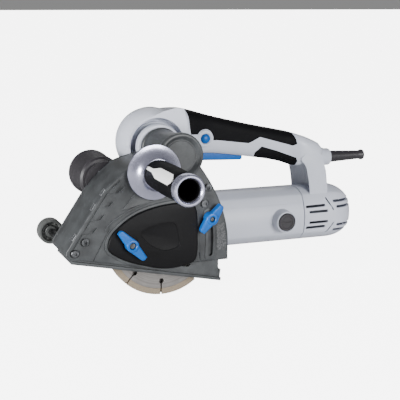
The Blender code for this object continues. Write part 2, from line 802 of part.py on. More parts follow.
def tail(name, inset=0.0):
    """Rounded rear of the motor housing."""
    radius, end = BARREL_RADIUS - inset, TAIL_END_X - inset
    start = SEAM_X if inset == 0 else SEAM_X - 5 * MM
    curve = [(radius * sin(a), end - 26 * MM * (1 - cos(a))) for a in map(radians, (35, 50, 65, 80))]
    profile = [(0, end - 2 * MM), *curve, (radius, start + 40 * MM), (radius, start), (0, start)]
    return turned(name, "X", (0, 0, 0), profile, sides=32)


def rubber_zone(spare=0.0):
    """Side view of the soft grip, wider than the handle at the top."""
    button = arc(BUTTON, 13 * MM - spare, 150, -15, 6)
    low = millimetres((60, 125)) + button + millimetres((148, 109), (157, 112), (166, 116.5), (218, 101.5))
    loop = millimetres((50, 175), (56, 150)) + low + millimetres((224, 118), (225, 175))
    return grown(loop, spare)


def half_space(side):
    """Everything on the other side of the parting plane, to cut away."""
    low, high = (-GAP / 2, 90 * MM) if side < 0 else (-90 * MM, GAP / 2)
    return box("other_side", (-90 * MM, low, -90 * MM), (400 * MM, high, 200 * MM))


def handle_shell(name, side):
    body = join(
        handle_body(name),
        tail("tail"),
        cylinder("cord_boss", "X", (270 * MM, 0, SLEEVE_Z), 13 * MM, 13.5 * MM, 24),
    )
    rubber_bed = cut(
        plate("rubber_bed", [rubber_zone(GAP)], -60 * MM, 60 * MM),
        handle_body("under_rubber", RUBBER + GAP),
    )
    trigger_gap = box("trigger_gap", (74 * MM, -9.6 * MM, 75 * MM), (146 * MM, 9.6 * MM, 104 * MM))
    recess = turned("recess", "Y", (TRUNNION_X, 0, TRUNNION_Z), millimetres(
        (0, -35), (37, -35), (37, -22), (30.8, -22), (30.8, -15), (0, -15),
    ), sides=36)
    body = cut(
        body,
        rubber_bed,
        handle_body("inside", SHELL_WALL + RUBBER),
        tail("tail_inside", BARREL_WALL),
        trigger_gap,
        recess,
        half_space(side),
        cylinder("sleeve_room", "X", (280 * MM, 0, SLEEVE_Z), 7 * MM, 14 * MM, 20),
    )
    if side < 0:
        ring = cylinder("ring", "Y", (BUTTON[0], -19 * MM, BUTTON[1]), 11.5 * MM, 5 * MM, 28)
        return cut(join(body, ring), hole(*BUTTON, 7 * MM, -19 * MM, 12 * MM, 24))
    return cut(body, *[
        hole(x, z, 2.8 * MM, 20 * MM, 30 * MM, 10) for x, z in HANDLE_SCREWS
    ])


def grip_pad(name, side):
    body = combine(handle_body(name), plate("zone", [rubber_zone()], -60 * MM, 60 * MM), "INTERSECT")
    return cut(body, handle_body("under", RUBBER), half_space(side))


def trigger():
    loop = millimetres(
        (76, 88), (79, 86), (141, 83.6), (143.4, 85), (143.4, 91), (139, 98), (79, 103), (76, 101)
    )
    return plate("trigger", [loop], -9 * MM, 9 * MM, edge=1.5 * MM, rounds=0)


def trigger_switch():
    return box("trigger_switch", (92 * MM, -9 * MM, 110 * MM), (126 * MM, 9 * MM, 126 * MM))


def lock_button():
    return turned("lock_button", "Y", (BUTTON[0], 0, BUTTON[1]), millimetres(
        (0, -27), (4.5, -26.6), (6.5, -25), (6.5, -12), (0, -12),
    ), sides=24)


def handle_screws():
    return [
        turned(f"handle_screw_{i + 1}", "Y", (x, 0, z), millimetres(
            (0, face + 2.6), (3.6, face + 2.6), (4.4, face + 0.3), (2.5, face + 0.3), (2.5, 4), (0, 4),
        ), sides=12)
        for i, ((x, z), face) in enumerate(zip(HANDLE_SCREWS, (28, 25, 42)))
    ]


def cord_sleeve():
    return turned("cord_sleeve", "X", (0, 0, SLEEVE_Z), millimetres(
        (3.8, 268), (6.6, 268), (6.6, 290), (5.4, 334), (6.6, 336), (7.2, 338.5), (6.6, 341),
        (3.8, 341),
    ), sides=20, ring=True)


# ---------------------------------------------------------------- assembly


def add(obj, finish, axis):
    """Give a piece its material and hang it on the empty of its joint."""
    obj.data.materials.clear()
    obj.data.materials.append(material(finish))
    obj.data.transform(Matrix.Translation(-Vector(axis["at"])))
    obj.parent = axis["empty"]
    obj.data.shade_smooth()
    obj.data.set_sharp_from_angle(angle=radians(35))
    bpy.context.scene.collection.objects.unlink(obj)
    PARTS.objects.link(obj)


def joint_empty(name, at, parent=None):
    empty = bpy.data.objects.new(name, None)
    empty.empty_display_size = 0.02
    PARTS.objects.link(empty)
    if parent:
        empty.parent = parent["empty"]
        empty.location = Vector(at) - Vector(parent["at"])
    else:
        empty.location = ORIGIN + Vector(at)
    return {"empty": empty, "at": at}


def build_guard(frame):
    add(guard_housing(), "guard_grey", frame)
    add(guard_back_plate(), "guard_grey", frame)
    add(handle_trunnion(), "guard_grey", frame)
    add(trunnion_collar(), "silver_plastic", frame)
    add(dust_adapter(), "black_plastic", frame)
    add(aux_handle_core(), "silver_plastic", frame)
    add(aux_handle_grip(), "soft_grip", frame)
    add(roller_axle(), "bare_steel", frame)
    add(cover_stud(), "zinc_screw", frame)
    for screw in guard_screws():
        add(screw, "zinc_screw", frame)


def build_motor(frame):
    add(gear_head(), "cast_aluminium", frame)
    add(bearing_flange(), "cast_aluminium", frame)
    add(bearing_shield(), "cast_aluminium", frame)
    add(rear_bracket(), "black_plastic", frame)
    add(motor_housing(), "silver_plastic", frame)
    add(field_stator(), "lamination", frame)
    add(bearing("spindle_bearing_main", "Y", 6.3, 16, -52.7, -40.3), "bare_steel", frame)
    add(bearing("rotor_bearing_front", "X", 5.3, 15, 62.6, 71.3), "bare_steel", frame)
    add(bearing("rotor_bearing_rear", "X", 5.3, 11, 213.3, 222), "bare_steel", frame)
    for place, side in (("near", -1), ("far", 1)):
        add(brush_cap(f"brush_cap_{place}", side), "black_plastic", frame)
        add(brush(f"carbon_brush_{place}", side), "carbon", frame)
    for screw in gear_head_screws():
        add(screw, "zinc_screw", frame)


def build_handle(frame):
    add(handle_shell("handle_shell_near", -1), "silver_plastic", frame)
    add(handle_shell("handle_shell_far", 1), "silver_plastic", frame)
    add(grip_pad("grip_pad_near", -1), "soft_grip", frame)
    add(grip_pad("grip_pad_far", 1), "soft_grip", frame)
    add(trigger_switch(), "black_plastic", frame)
    add(cord_sleeve(), "black_plastic", frame)
    for screw in handle_screws():
        add(screw, "zinc_screw", frame)


def build_spindle(frame):
    axis = joint_empty("spindle_axis", (0, 0, 0), frame)
    add(spindle_shaft(), "bare_steel", axis)
    add(drive_gear(), "bare_steel", axis)
    add(inner_flange(), "bare_steel", axis)
    add(disc("cutting_disc_far", DISC_FAR_Y, 21.3), "disc_steel", axis)
    add(disc_spacer(), "bare_steel", axis)
    add(disc("cutting_disc_near", DISC_NEAR_Y, 1.3), "disc_steel", axis)
    add(outer_flange(), "bare_steel", axis)
    add(spindle_nut(), "zinc_screw", axis)


def build_rotor(frame):
    axis = joint_empty("rotor_axis", (0, 0, 0), frame)
    shaft = cylinder("rotor_shaft", "X", (124.65 * MM, 0, 0), 5 * MM, 97.35 * MM, 20)
    pinion = toothed("drive_pinion", "X", PINION_TEETH, 2, [(16, 5.2, 4.4), (25, 8.4, 6.6), (27, 7, 6)])
    add(shaft, "bare_steel", axis)
    add(pinion, "bare_steel", axis)
    add(toothed("cooling_fan", "X", 11, 5.3, [(79, 36, 15), (90, 33, 15)]), "black_plastic", axis)
    add(toothed("armature", "X", 14, 5.3, [(98, 24, 21), (158, 24, 21)]), "lamination", axis)
    add(toothed("commutator", "X", 10, 5.3, [(186, 13, 12.4), (206, 13, 12.4)]), "brass", axis)


def build_moving(frame):
    shoe_axis = joint_empty("shoe_axis", (PIVOT_X, 0, PIVOT_Z), frame)
    add(shoe(), "guard_grey", shoe_axis)
    add(depth_stud(), "zinc_screw", shoe_axis)
    stud_x, stud_z = stud_place()
    knob_axis = joint_empty("depth_nut_axis", (stud_x, 0, stud_z), shoe_axis)
    depth_nut = wing_nut("depth_wing_nut", stud_place(), 3.6, -125, -112, 43, 56)
    add(depth_nut, "blue_plastic", knob_axis)
    roller_at = joint_empty("roller_axis", (PIVOT_X, 0, PIVOT_Z), frame)
    add(roller_wheel(), "wheel_grey", roller_at)
    cover_at = joint_empty("cover_slide", (COVER_STUD[0], NEAR_Y, COVER_STUD[1]), frame)
    add(access_cover(), "black_plastic", cover_at)
    nut_axis = joint_empty("cover_nut_axis", (COVER_STUD[0], 0, COVER_STUD[1]), cover_at)
    add(wing_nut("cover_wing_nut", COVER_STUD, 4.3, -126, -114.8, 50, -44), "blue_plastic", nut_axis)
    trigger_axis = joint_empty("trigger_axis", (TRIGGER_PIVOT[0], 0, TRIGGER_PIVOT[1]), frame)
    add(trigger(), "blue_plastic", trigger_axis)
    button_at = joint_empty("lock_button_slide", (BUTTON[0], 0, BUTTON[1]), frame)
    add(lock_button(), "blue_plastic", button_at)
    lock_at = joint_empty("spindle_lock_slide", (LOCK_PLACE[0], 0, LOCK_PLACE[1]), frame)
    lock = hole(*LOCK_PLACE, 5 * MM, 31 * MM, 8 * MM, 20)
    lock.name = "spindle_lock_button"
    add(lock, "black_plastic", lock_at)


def main():
    frame = joint_empty("tool_frame", (0, 0, 0))
    build_guard(frame)
    build_motor(frame)
    build_handle(frame)
    build_spindle(frame)
    build_rotor(frame)
    build_moving(frame)


clear_scene()
PARTS = new_collection("wall_chaser")
main()
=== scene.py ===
"""Looks of a twin-disc wall chaser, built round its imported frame.

Shapes are drawn in tool coordinates, in metres: the spindle's axis crosses the motor's at the
origin, +X points back to the cord, -Y towards the side handle, +Z up. placed() moves each
finished mesh to where the frame holds it.
"""

from math import atan2, cos, pi, radians, sin, sqrt, tan

import bmesh
import bpy
from mathutils import Matrix, Vector


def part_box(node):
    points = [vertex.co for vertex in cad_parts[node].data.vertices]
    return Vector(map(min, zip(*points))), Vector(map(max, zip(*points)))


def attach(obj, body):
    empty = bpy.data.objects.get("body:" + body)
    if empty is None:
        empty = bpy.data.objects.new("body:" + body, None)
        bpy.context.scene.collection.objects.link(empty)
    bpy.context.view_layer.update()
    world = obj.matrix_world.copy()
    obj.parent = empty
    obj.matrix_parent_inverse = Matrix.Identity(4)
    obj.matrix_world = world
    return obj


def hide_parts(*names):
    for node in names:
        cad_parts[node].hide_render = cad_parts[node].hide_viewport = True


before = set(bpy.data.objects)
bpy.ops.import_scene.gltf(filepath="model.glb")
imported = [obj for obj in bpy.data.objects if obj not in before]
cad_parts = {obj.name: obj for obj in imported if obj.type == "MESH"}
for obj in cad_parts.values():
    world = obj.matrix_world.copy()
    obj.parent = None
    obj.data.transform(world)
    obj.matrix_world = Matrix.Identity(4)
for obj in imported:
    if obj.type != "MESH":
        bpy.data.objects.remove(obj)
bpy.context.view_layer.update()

MM = 0.001
GAP = 0.3 * MM
AXES = {
    "X": Matrix.Rotation(pi / 2, 4, "Y"),
    "Y": Matrix.Rotation(-pi / 2, 4, "X"),
    "Z": Matrix.Identity(4),
}
AT_REST = Matrix.Identity(4)


def middle_of(node):
    low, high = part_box(node)
    return (low + high) / 2


def tool_origin():
    """Where the spindle's axis crosses the motor's."""
    disc, shaft = middle_of("cutting_disc_near"), middle_of("rotor_shaft")
    return Vector((disc.x, shaft.y, shaft.z))


ORIGIN = tool_origin()


def place_of(node):
    """The middle of a node's box, in tool coordinates."""
    return middle_of(node) - ORIGIN


def span_of(node):
    """A node's lowest and highest corners, in tool coordinates."""
    low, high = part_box(node)
    return low - ORIGIN, high - ORIGIN


# Places and sizes that the frame gives
DISC_YS = {"near": place_of("cutting_disc_near").y, "far": place_of("cutting_disc_far").y}
NEAR_Y = span_of("guard_housing")[0].y + 7 * MM
FAR_Y = span_of("guard_back_plate")[1].y
TRUNNION_X, TRUNNION_Z = place_of("handle_trunnion").x, place_of("handle_trunnion").z
AUX_X, AUX_Z = place_of("aux_handle_grip").x, place_of("aux_handle_grip").z
OUTLET_X, OUTLET_Z = place_of("dust_adapter").x, place_of("dust_adapter").z
PIVOT_X, PIVOT_Z = place_of("roller_wheel").x, place_of("roller_wheel").z
STUD_X, STUD_Z = place_of("depth_stud").x, place_of("depth_stud").z
COVER_STUD = (place_of("cover_stud").x, place_of("cover_stud").z)
BARREL_RADIUS = 42.8 * MM
BARREL_FRONT_X, SEAM_X = span_of("motor_housing")[0].x, span_of("motor_housing")[1].x
TAIL_END_X = span_of("handle_shell_near")[1].x
BRUSH_X = place_of("brush_cap_near").x
BRUSH_BOSSES = ((-1, BRUSH_X - 3 * MM, 54), (1, BRUSH_X, 46))
SLEEVE_Z = place_of("cord_sleeve").z
BUTTON = (place_of("lock_button").x, place_of("lock_button").z)
GUARD_SCREWS = [
    (place_of(f"guard_screw_{name}").x, place_of(f"guard_screw_{name}").z)
    for name in ("upper", "lower", "front")
]
HANDLE_SCREWS = [
    (place_of(f"handle_screw_{i}").x, place_of(f"handle_screw_{i}").z) for i in (1, 2, 3)
]

# Sizes of the shapes made here
GUARD_WALL = 3 * MM
SOLE_TILT = radians(-11.5)
SOLE_FRONT = (-129 * MM, -15 * MM)
SOLE_LENGTH = 203 * MM
SOLE_THICK = 4 * MM
DOME_HALF = 28 * MM
GRIP_HALF = 20 * MM
LEG_HALF = 29 * MM
HANDLE_EDGE = 13 * MM
RUBBER = 2 * MM
SHELL_WALL = 3 * MM
SEGMENTS = 9
STUD_REACH = sqrt((STUD_X - PIVOT_X) ** 2 + (STUD_Z - PIVOT_Z) ** 2)
STUD_ANGLE = atan2(STUD_Z - PIVOT_Z, STUD_X - PIVOT_X)
SWING = radians(15)


# ---------------------------------------------------------------- materials


def linear(code):
    """An sRGB hex colour as linear RGBA."""
    def channel(value):
        return value / 12.92 if value <= 0.04045 else ((value + 0.055) / 1.055) ** 2.4
    return (*[channel(int(code[i : i + 2], 16) / 255) for i in (1, 3, 5)], 1)


def node(tree, kind, inputs=(), **settings):
    """Adds a node; inputs pairs a socket's name or number with a value or with another socket."""
    made = tree.nodes.new(kind)
    for key, value in settings.items():
        setattr(made, key, value)
    for key, value in dict(inputs).items():
        socket = made.inputs[key]
        if isinstance(value, bpy.types.NodeSocket):
            tree.links.new(value, socket)
        else:
            socket.default_value = value
    return made


def blank_material(name):
    """A new material, its empty tree, and the coordinates that fix its patterns to the piece."""
    made = bpy.data.materials.new(name)
    made.use_nodes = True
    tree = made.node_tree
    tree.nodes.clear()
    return made, tree, node(tree, "ShaderNodeTexCoord").outputs["Object"]


def tinted(tree, colour, pattern, tint, amount, start=0.3, end=0.7):
    """The colour with a share of a tint that grows as the pattern goes from start to end."""
    settings = {"Value": pattern, "From Min": start, "From Max": end, "To Min": 0, "To Max": amount}
    share = node(tree, "ShaderNodeMapRange", settings).outputs[0]
    mixed = {0: share, 6: colour, 7: linear(tint)}
    return node(tree, "ShaderNodeMix", mixed, data_type="RGBA", blend_type="MIX").outputs[2]


def shade(tree, colour, relief, depth, polish, start=0.3, end=0.7, shine=None, **fixed):
    """The finished surface: its colour, its relief in metres and its least and most roughness.

    Roughness follows the worn pattern, or else the relief; fixed settings are plain numbers.
    """
    settings = {"Value": shine or relief, "From Min": start, "From Max": end,
                "To Min": polish[0], "To Max": polish[1]}
    rough = node(tree, "ShaderNodeMapRange", settings).outputs[0]
    settings = {"Height": relief, "Distance": depth, "Strength": 1.0}
    normal = node(tree, "ShaderNodeBump", settings).outputs[0]
    names = {"metallic": "Metallic", "ior": "IOR"}
    settings = {"Base Color": colour, "Roughness": rough, "Normal": normal}
    settings.update({names[key]: value for key, value in fixed.items()})
    shader = node(tree, "ShaderNodeBsdfPrincipled", settings)
    node(tree, "ShaderNodeOutputMaterial", {"Surface": shader.outputs[0]})


def powder_coated_magnesium(name, code, roughness):
    """Polyester powder over a die casting: an orange-peel skin, its pigment a little uneven."""
    made, tree, point = blank_material(name)
    settings = {"Vector": point, "Scale": 1 / (18 * MM), "Detail": 3}
    cloud = node(tree, "ShaderNodeTexNoise", settings).outputs[0]
    settings = {"Vector": point, "Scale": 1 / (0.9 * MM)}
    peel = node(tree, "ShaderNodeTexNoise", settings).outputs[0]
    colour = tinted(tree, linear(code), cloud, "#46494B", 1)
    colour = tinted(tree, colour, peel, "#242526", 0.35)
    polish = (roughness - 0.04, roughness + 0.06)
    shade(tree, colour, peel, 0.06 * MM, polish, shine=cloud, ior=1.42)
    return made


def textured_magnesium(name):
    """The same casting's sandy rear strip, its grit drawn 1.6 mm wide to show."""
    made, tree, point = blank_material(name)
    settings = {"Vector": point, "Scale": 1 / (1.6 * MM), "Detail": 3, "Roughness": 0.7}
    grit = node(tree, "ShaderNodeTexNoise", settings).outputs[0]
    colour = tinted(tree, linear("#2C2D2F"), grit, "#5C5E60", 1, 0.4, 0.66)
    shade(tree, colour, grit, 0.3 * MM, (0.35, 0.6), ior=1.45)
    return made


def moulded_polyamide(name, code, roughness, tint, grain=0.5 * MM, deep=0.012 * MM, ior=1.45):
    """Injection-moulded nylon: a spark-eroded satin skin, faint flow clouds on large faces."""
    made, tree, point = blank_material(name)
    settings = {"Vector": point, "Scale": 1 / (35 * MM)}
    flow = node(tree, "ShaderNodeTexNoise", settings).outputs[0]
    settings = {"Vector": point, "Scale": 1 / grain}
    skin = node(tree, "ShaderNodeTexNoise", settings).outputs[0]
    colour = tinted(tree, linear(code), flow, tint, 0.3)
    shade(tree, colour, skin, deep, (roughness - 0.04, roughness + 0.05), ior=ior)
    return made


def soft_touch_elastomer(name, code):
    """Overmoulded thermoplastic rubber: matt, its leathery texture drawn 1.2 mm wide to show."""
    made, tree, point = blank_material(name)
    settings = {"Vector": point, "Scale": 1 / (1.2 * MM)}
    cells = node(tree, "ShaderNodeTexVoronoi", settings).outputs[0]
    settings = {"Vector": point, "Scale": 1 / (25 * MM)}
    rub = node(tree, "ShaderNodeTexNoise", settings).outputs[0]
    colour = tinted(tree, linear(code), rub, "#101013", 0.6)
    shade(tree, colour, cells, 0.03 * MM, (0.56, 0.66), shine=rub, ior=1.18)
    return made


def dyed_acetal(name, code):
    """Blue acetal, moulded glossy, its colour a touch deeper where it is thin."""
    made, tree, point = blank_material(name)
    settings = {"Vector": point, "Scale": 1 / (12 * MM)}
    depth = node(tree, "ShaderNodeTexNoise", settings).outputs[0]
    settings = {"Vector": point, "Scale": 1 / (0.7 * MM)}
    skin = node(tree, "ShaderNodeTexNoise", settings).outputs[0]
    colour = tinted(tree, linear(code), depth, "#004C98", 0.5)
    shade(tree, colour, skin, 0.008 * MM, (0.3, 0.38), ior=1.36)
    return made


def satin_lacquered_tube(name, code):
    """Aluminium tube under silver lacquer: smooth and bright, with a faint lilac cast."""
    made, tree, point = blank_material(name)
    settings = {"Vector": point, "Scale": 1 / (22 * MM)}
    cast = node(tree, "ShaderNodeTexNoise", settings).outputs[0]
    settings = {"Vector": point, "Scale": 1 / (0.35 * MM), "Detail": 1}
    flake = node(tree, "ShaderNodeTexNoise", settings).outputs[0]
    colour = tinted(tree, linear(code), cast, "#9C9CB8", 0.4)
    shade(tree, colour, flake, 0.004 * MM, (0.2, 0.3), metallic=0.9)
    return made


def machined_metal(name, code, roughness=0.3):
    """Bare or plated metal, and the light grey that paints a highlight on the guard's small frames;
    its tool marks, 0.2 mm wide, run round parts along Y.
    """
    made, tree, point = blank_material(name)
    settings = {"Vector": point, "Scale": (1, 6, 1)}
    drawn = node(tree, "ShaderNodeMapping", settings, vector_type="POINT").outputs[0]
    settings = {"Vector": drawn, "Scale": 1 / MM, "Detail": 3}
    marks = node(tree, "ShaderNodeTexNoise", settings).outputs[0]
    settings = {"Vector": point, "Scale": 1 / (6 * MM)}
    patch = node(tree, "ShaderNodeTexNoise", settings).outputs[0]
    colour = tinted(tree, linear(code), patch, "#8B8D90", 0.5)
    shade(tree, colour, marks, 0.01 * MM, (roughness - 0.08, roughness + 0.1), metallic=1.0)
    return made


def ground_blade_steel(name, centre):
    """Disc core: tempered steel ground flat, so its scratches run in rings round the bore."""
    made, tree, point = blank_material(name)
    settings = {"Vector": point, "Location": (-centre.x, 0, -centre.z), "Scale": (1, 0, 1)}
    offset = node(tree, "ShaderNodeMapping", settings, vector_type="POINT").outputs[0]
    reach = node(tree, "ShaderNodeVectorMath", {0: offset}, operation="LENGTH").outputs["Value"]
    settings = {0: reach, 1: 1 / (1.1 * MM)}
    along = node(tree, "ShaderNodeMath", settings, operation="MULTIPLY").outputs[0]
    settings = {"W": along, "Scale": 1, "Detail": 3}
    rings = node(tree, "ShaderNodeTexNoise", settings, noise_dimensions="1D").outputs[0]
    settings = {"Vector": point, "Scale": 1 / (14 * MM), "Detail": 3}
    stain = node(tree, "ShaderNodeTexNoise", settings).outputs[0]
    colour = tinted(tree, linear("#7C7977"), rings, "#9C9997", 1)
    colour = tinted(tree, colour, stain, "#6B6763", 0.35)
    shade(tree, colour, rings, 0.01 * MM, (0.28, 0.42), metallic=0.85)
    return made


def grainy(name, code, tint, broad, fine, depth, polish, **fixed):
    """Pressed or cast stock: one colour mottled with another over a grain.

    Each pattern is a noise node's settings; without a fine one the broad one is the grain.
    """
    made, tree, point = blank_material(name)
    blotch = node(tree, "ShaderNodeTexNoise", {"Vector": point, **broad}).outputs[0]
    grain = blotch
    if fine:
        grain = node(tree, "ShaderNodeTexNoise", {"Vector": point, **fine}).outputs[0]
    colour = tinted(tree, linear(code), blotch, tint, 1)
    shade(tree, colour, grain, depth, polish, **fixed)
    return made


def banded(name, first, second, band, metallic, roughness):
    """Stacked sheets or bars across the motor's axis, drawn wider than real so that they show."""
    made, tree, point = blank_material(name)
    settings = {"Vector": point, "Scale": pi / (10 * band), "Distortion": 0.0}
    wave = node(tree, "ShaderNodeTexWave", settings, bands_direction="X").outputs[1]
    colour = tinted(tree, linear(first), wave, second, 1, 0, 1)
    polish = (roughness, roughness + 0.1)
    shade(tree, colour, wave, 0.05 * MM, polish, 0, 1, metallic=metallic)
    return made


DISC_CENTRE = ORIGIN + Vector((0, DISC_YS["near"], 0))
FINISHES = {
    "guard": powder_coated_magnesium("powder_coated_magnesium", "#2E3032", 0.42),
    "guard_grit": textured_magnesium("sand_textured_magnesium"),
    "silver": moulded_polyamide("moulded_grey_polyamide", "#C6CAD6", 0.34, "#B6BBC8"),
    "black": moulded_polyamide("glass_filled_black_nylon", "#08080A", 0.5, "#101012", 0.7 * MM,
                               0.02 * MM, 1.24),
    # Light bare-metal grey for the small frames on the guard's front wall: a painted highlight
    # along that edge
    "shine": machined_metal("magnesium_rubbed_bare", "#C9CCD0", 0.4),
    "dust": moulded_polyamide("moulded_dark_grey_rubber", "#2E2C30", 0.42, "#1D1B1E", 0.6 * MM,
                              0.02 * MM),
    "wheel": moulded_polyamide("moulded_wheel_nylon", "#565857", 0.4, "#464847", 0.6 * MM,
                               0.02 * MM),
    "inlay": moulded_polyamide("moulded_white_inlay", "#FFFFFF", 0.4, "#F4F4F8", 0.5 * MM,
                               0.01 * MM),
    "rubber": soft_touch_elastomer("soft_touch_elastomer", "#08080A"),
    "blue": dyed_acetal("dyed_blue_acetal", "#0058A8"),
    "tube": satin_lacquered_tube("satin_lacquered_tube", "#B8B9CC"),
    "zinc": machined_metal("zinc_plated_steel", "#9A9C9E"),
    "dark_zinc": machined_metal("black_oxide_steel", "#2C2D2F", 0.38),
    "steel": machined_metal("turned_steel", "#B4B6B8", 0.24),
    "disc": ground_blade_steel("ground_blade_steel", DISC_CENTRE),
    # Segments of bronze powder pressed with diamond grit: tan, rough and sparkling
    "segment": grainy("sintered_diamond_segment", "#6F6456", "#9C8F7C",
                      {"Scale": 1 / (0.7 * MM), "Detail": 3, "Roughness": 0.7}, None, 0.12 * MM,
                      (0.45, 0.75), metallic=0.35),
    # Bare die casting, blasted after trimming: pale, grainy, faintly blotched
    "casting": grainy("die_cast_aluminium", "#8B8E91", "#A3A6A8",
                      {"Scale": 1 / (9 * MM), "Detail": 3}, {"Scale": 1 / (0.6 * MM)},
                      0.04 * MM, (0.38, 0.55), metallic=0.85),
    "lamination": banded("electrical_steel_laminations", "#4B4D50", "#6D7074", 1.5 * MM, 0.8, 0.4),
    "copper": banded("commutator_copper", "#8F5327", "#C98A4E", 2.2 * MM, 0.9, 0.28),
    # Brushes of pressed graphite: dull, dark and even
    "carbon": grainy("pressed_graphite", "#232325", "#3A3A3D",
                     {"Scale": 1 / (0.5 * MM), "Detail": 3}, None, 0.02 * MM, (0.5, 0.7)),
}


# ---------------------------------------------------------------- mesh tools


def linked(name, data):
    obj = bpy.data.objects.new(name, data)
    bpy.context.scene.collection.objects.link(obj)
    return obj


def from_bmesh(name, bm):
    mesh = bpy.data.meshes.new(name)
    bm.to_mesh(mesh)
    bm.free()
    return linked(name, mesh)


def baked(obj, curve=False):
    """The object with its modifiers applied and its transform in the mesh."""
    bpy.context.view_layer.update()
    graph = bpy.context.evaluated_depsgraph_get()
    mesh = bpy.data.meshes.new_from_object(obj.evaluated_get(graph))
    mesh.transform(obj.matrix_world)
    if curve:
        bm = bmesh.new()
        bm.from_mesh(mesh)
        bmesh.ops.remove_doubles(bm, verts=bm.verts, dist=1e-6)
        bmesh.ops.recalc_face_normals(bm, faces=bm.faces)
        bm.to_mesh(mesh)
        bm.free()
    name = obj.name
    bpy.data.objects.remove(obj)
    return linked(name, mesh)


def cylinder(name, axis, centre, radius, half, sides=64):
    bm = bmesh.new()
    turn = Matrix.Translation(centre) @ AXES[axis]
    bmesh.ops.create_cone(bm, cap_ends=True, segments=sides, radius1=radius, radius2=radius,
                          depth=2 * half, matrix=turn)
    return from_bmesh(name, bm)


def box(name, low, high, turn=AT_REST):
    low, high = Vector(low), Vector(high)
    size = Matrix.Diagonal((*(high - low), 1))
    bm = bmesh.new()
    bmesh.ops.create_cube(bm, size=1, matrix=turn @ Matrix.Translation((low + high) / 2) @ size)
    return from_bmesh(name, bm)


def bridged(name, loops, ring=False):
    """Skins a row of equal loops of points, closing the two ends with flat faces."""
    bm = bmesh.new()
    rows = [[bm.verts.new(point) for point in loop] for loop in loops]
    pairs = list(zip(rows, rows[1:] + rows[:1])) if ring else list(zip(rows, rows[1:]))
    for here, after in pairs:
        for i in range(len(here)):
            j = (i + 1) % len(here)
            bm.faces.new((here[i], here[j], after[j], after[i]))
    if not ring:
        bm.faces.new(rows[0])
        bm.faces.new(rows[-1])
    bmesh.ops.remove_doubles(bm, verts=bm.verts, dist=1e-7)
    bmesh.ops.recalc_face_normals(bm, faces=bm.faces)
    return from_bmesh(name, bm)


def turned(name, axis, centre, profile, sides=96, ring=False):
    """A profile of (radius, place along the axis), in mm, spun round an axis."""
    turn = Matrix.Translation(centre) @ AXES[axis]
    steps = [2 * pi * i / sides for i in range(sides)]
    loops = [
        [turn @ (Vector((radius * cos(a), radius * sin(a), along)) * MM) for a in steps]
        for radius, along in profile
    ]
    return bridged(name, loops, ring)


def plate(name, loops, near, far, edge=0.0, inset=0.0, rounds=3):
    """XZ outlines made solid from y = near to y = far; loops after the first are holes."""
    curve = bpy.data.curves.new(name, "CURVE")
    curve.dimensions = "2D"
    curve.fill_mode = "BOTH"
    curve.extrude = (far - near) / 2 - edge - inset
    curve.bevel_depth = edge
    curve.bevel_resolution = rounds
    curve.offset = -edge - inset
    for loop in loops:
        spline = curve.splines.new("POLY")
        spline.points.add(len(loop) - 1)
        for point, (x, z) in zip(spline.points, loop):
            point.co = (x, z, 0, 1)
        spline.use_cyclic_u = True
    obj = linked(name, curve)
    obj.matrix_world = Matrix.Translation((0, (near + far) / 2, 0)) @ Matrix.Rotation(
        pi / 2, 4, "X")
    return baked(obj, curve=True)


def combine(obj, other, operation):
    modifier = obj.modifiers.new("Combine", "BOOLEAN")
    modifier.operation = operation
    modifier.solver = "MANIFOLD"
    modifier.object = other
    result = baked(obj)
    bpy.data.objects.remove(other)
    return result


def cut(obj, *others):
    for other in others:
        obj = combine(obj, other, "DIFFERENCE")
    return obj


def join(obj, *others):
    for other in others:
        obj = combine(obj, other, "UNION")
    return obj


def kept(obj, other):
    return combine(obj, other, "INTERSECT")


def softened(obj, width):
    """Rounds a solid's crisp edges by a small bevel."""
    modifier = obj.modifiers.new("Soften", "BEVEL")
    modifier.width = width
    modifier.segments = 2
    modifier.limit_method = "ANGLE"
    modifier.angle_limit = radians(32)
    modifier.miter_outer = "MITER_ARC"
    return baked(obj)


def together(name, pieces):
    """Several meshes gathered in one object, their materials kept."""
    bm = bmesh.new()
    finishes = []
    for piece in pieces:
        start = len(bm.faces)
        bm.from_mesh(piece.data)
        bm.faces.ensure_lookup_table()
        finish = piece.data.materials[0] if piece.data.materials else None
        if finish not in finishes:
            finishes.append(finish)
        for face in bm.faces[start:]:
            face.material_index = finishes.index(finish)
        bpy.data.objects.remove(piece)
    obj = from_bmesh(name, bm)
    for finish in finishes:
        obj.data.materials.append(finish)
    return obj


def painted(obj, finish):
    obj.data.materials.clear()
    obj.data.materials.append(FINISHES[finish])
    return obj


def placed(obj, body, finish, replaces=(), crease=34):
    """Moves a finished mesh from tool coordinates into the frame and hands it to its body."""
    if finish:
        painted(obj, finish)
    obj.data.transform(Matrix.Translation(ORIGIN))
    obj.data.shade_smooth()
    obj.data.set_sharp_from_angle(angle=radians(crease))
    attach(obj, body)
    if replaces:
        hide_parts(*replaces)


# ---------------------------------------------------------------- outlines


def mm(*points):
    return [(x * MM, z * MM) for x, z in points]


def arc(centre, radius, start, end, count):
    steps = [radians(start + (end - start) * i / (count - 1)) for i in range(count)]
    return [(centre[0] + radius * cos(a), centre[1] + radius * sin(a)) for a in steps]


def smooth(points, per_span, closed=True):
    """A Catmull-Rom curve through the points."""
    count = len(points)
    spans = count if closed else count - 1
    result = []
    for i in range(spans):
        ids = [i - 1, i, i + 1, i + 2]
        ids = [j % count if closed else min(max(j, 0), count - 1) for j in ids]
        a, b, c, d = (Vector(points[j]) for j in ids)
        for k in range(per_span):
            t = k / per_span
            p = b + 0.5 * t * (c - a + t * (2 * a - 5 * b + 4 * c - d + t * (3 * (b - c) + d - a)))
            result.append(tuple(p))
    if not closed:
        result.append(tuple(points[-1]))
    return result


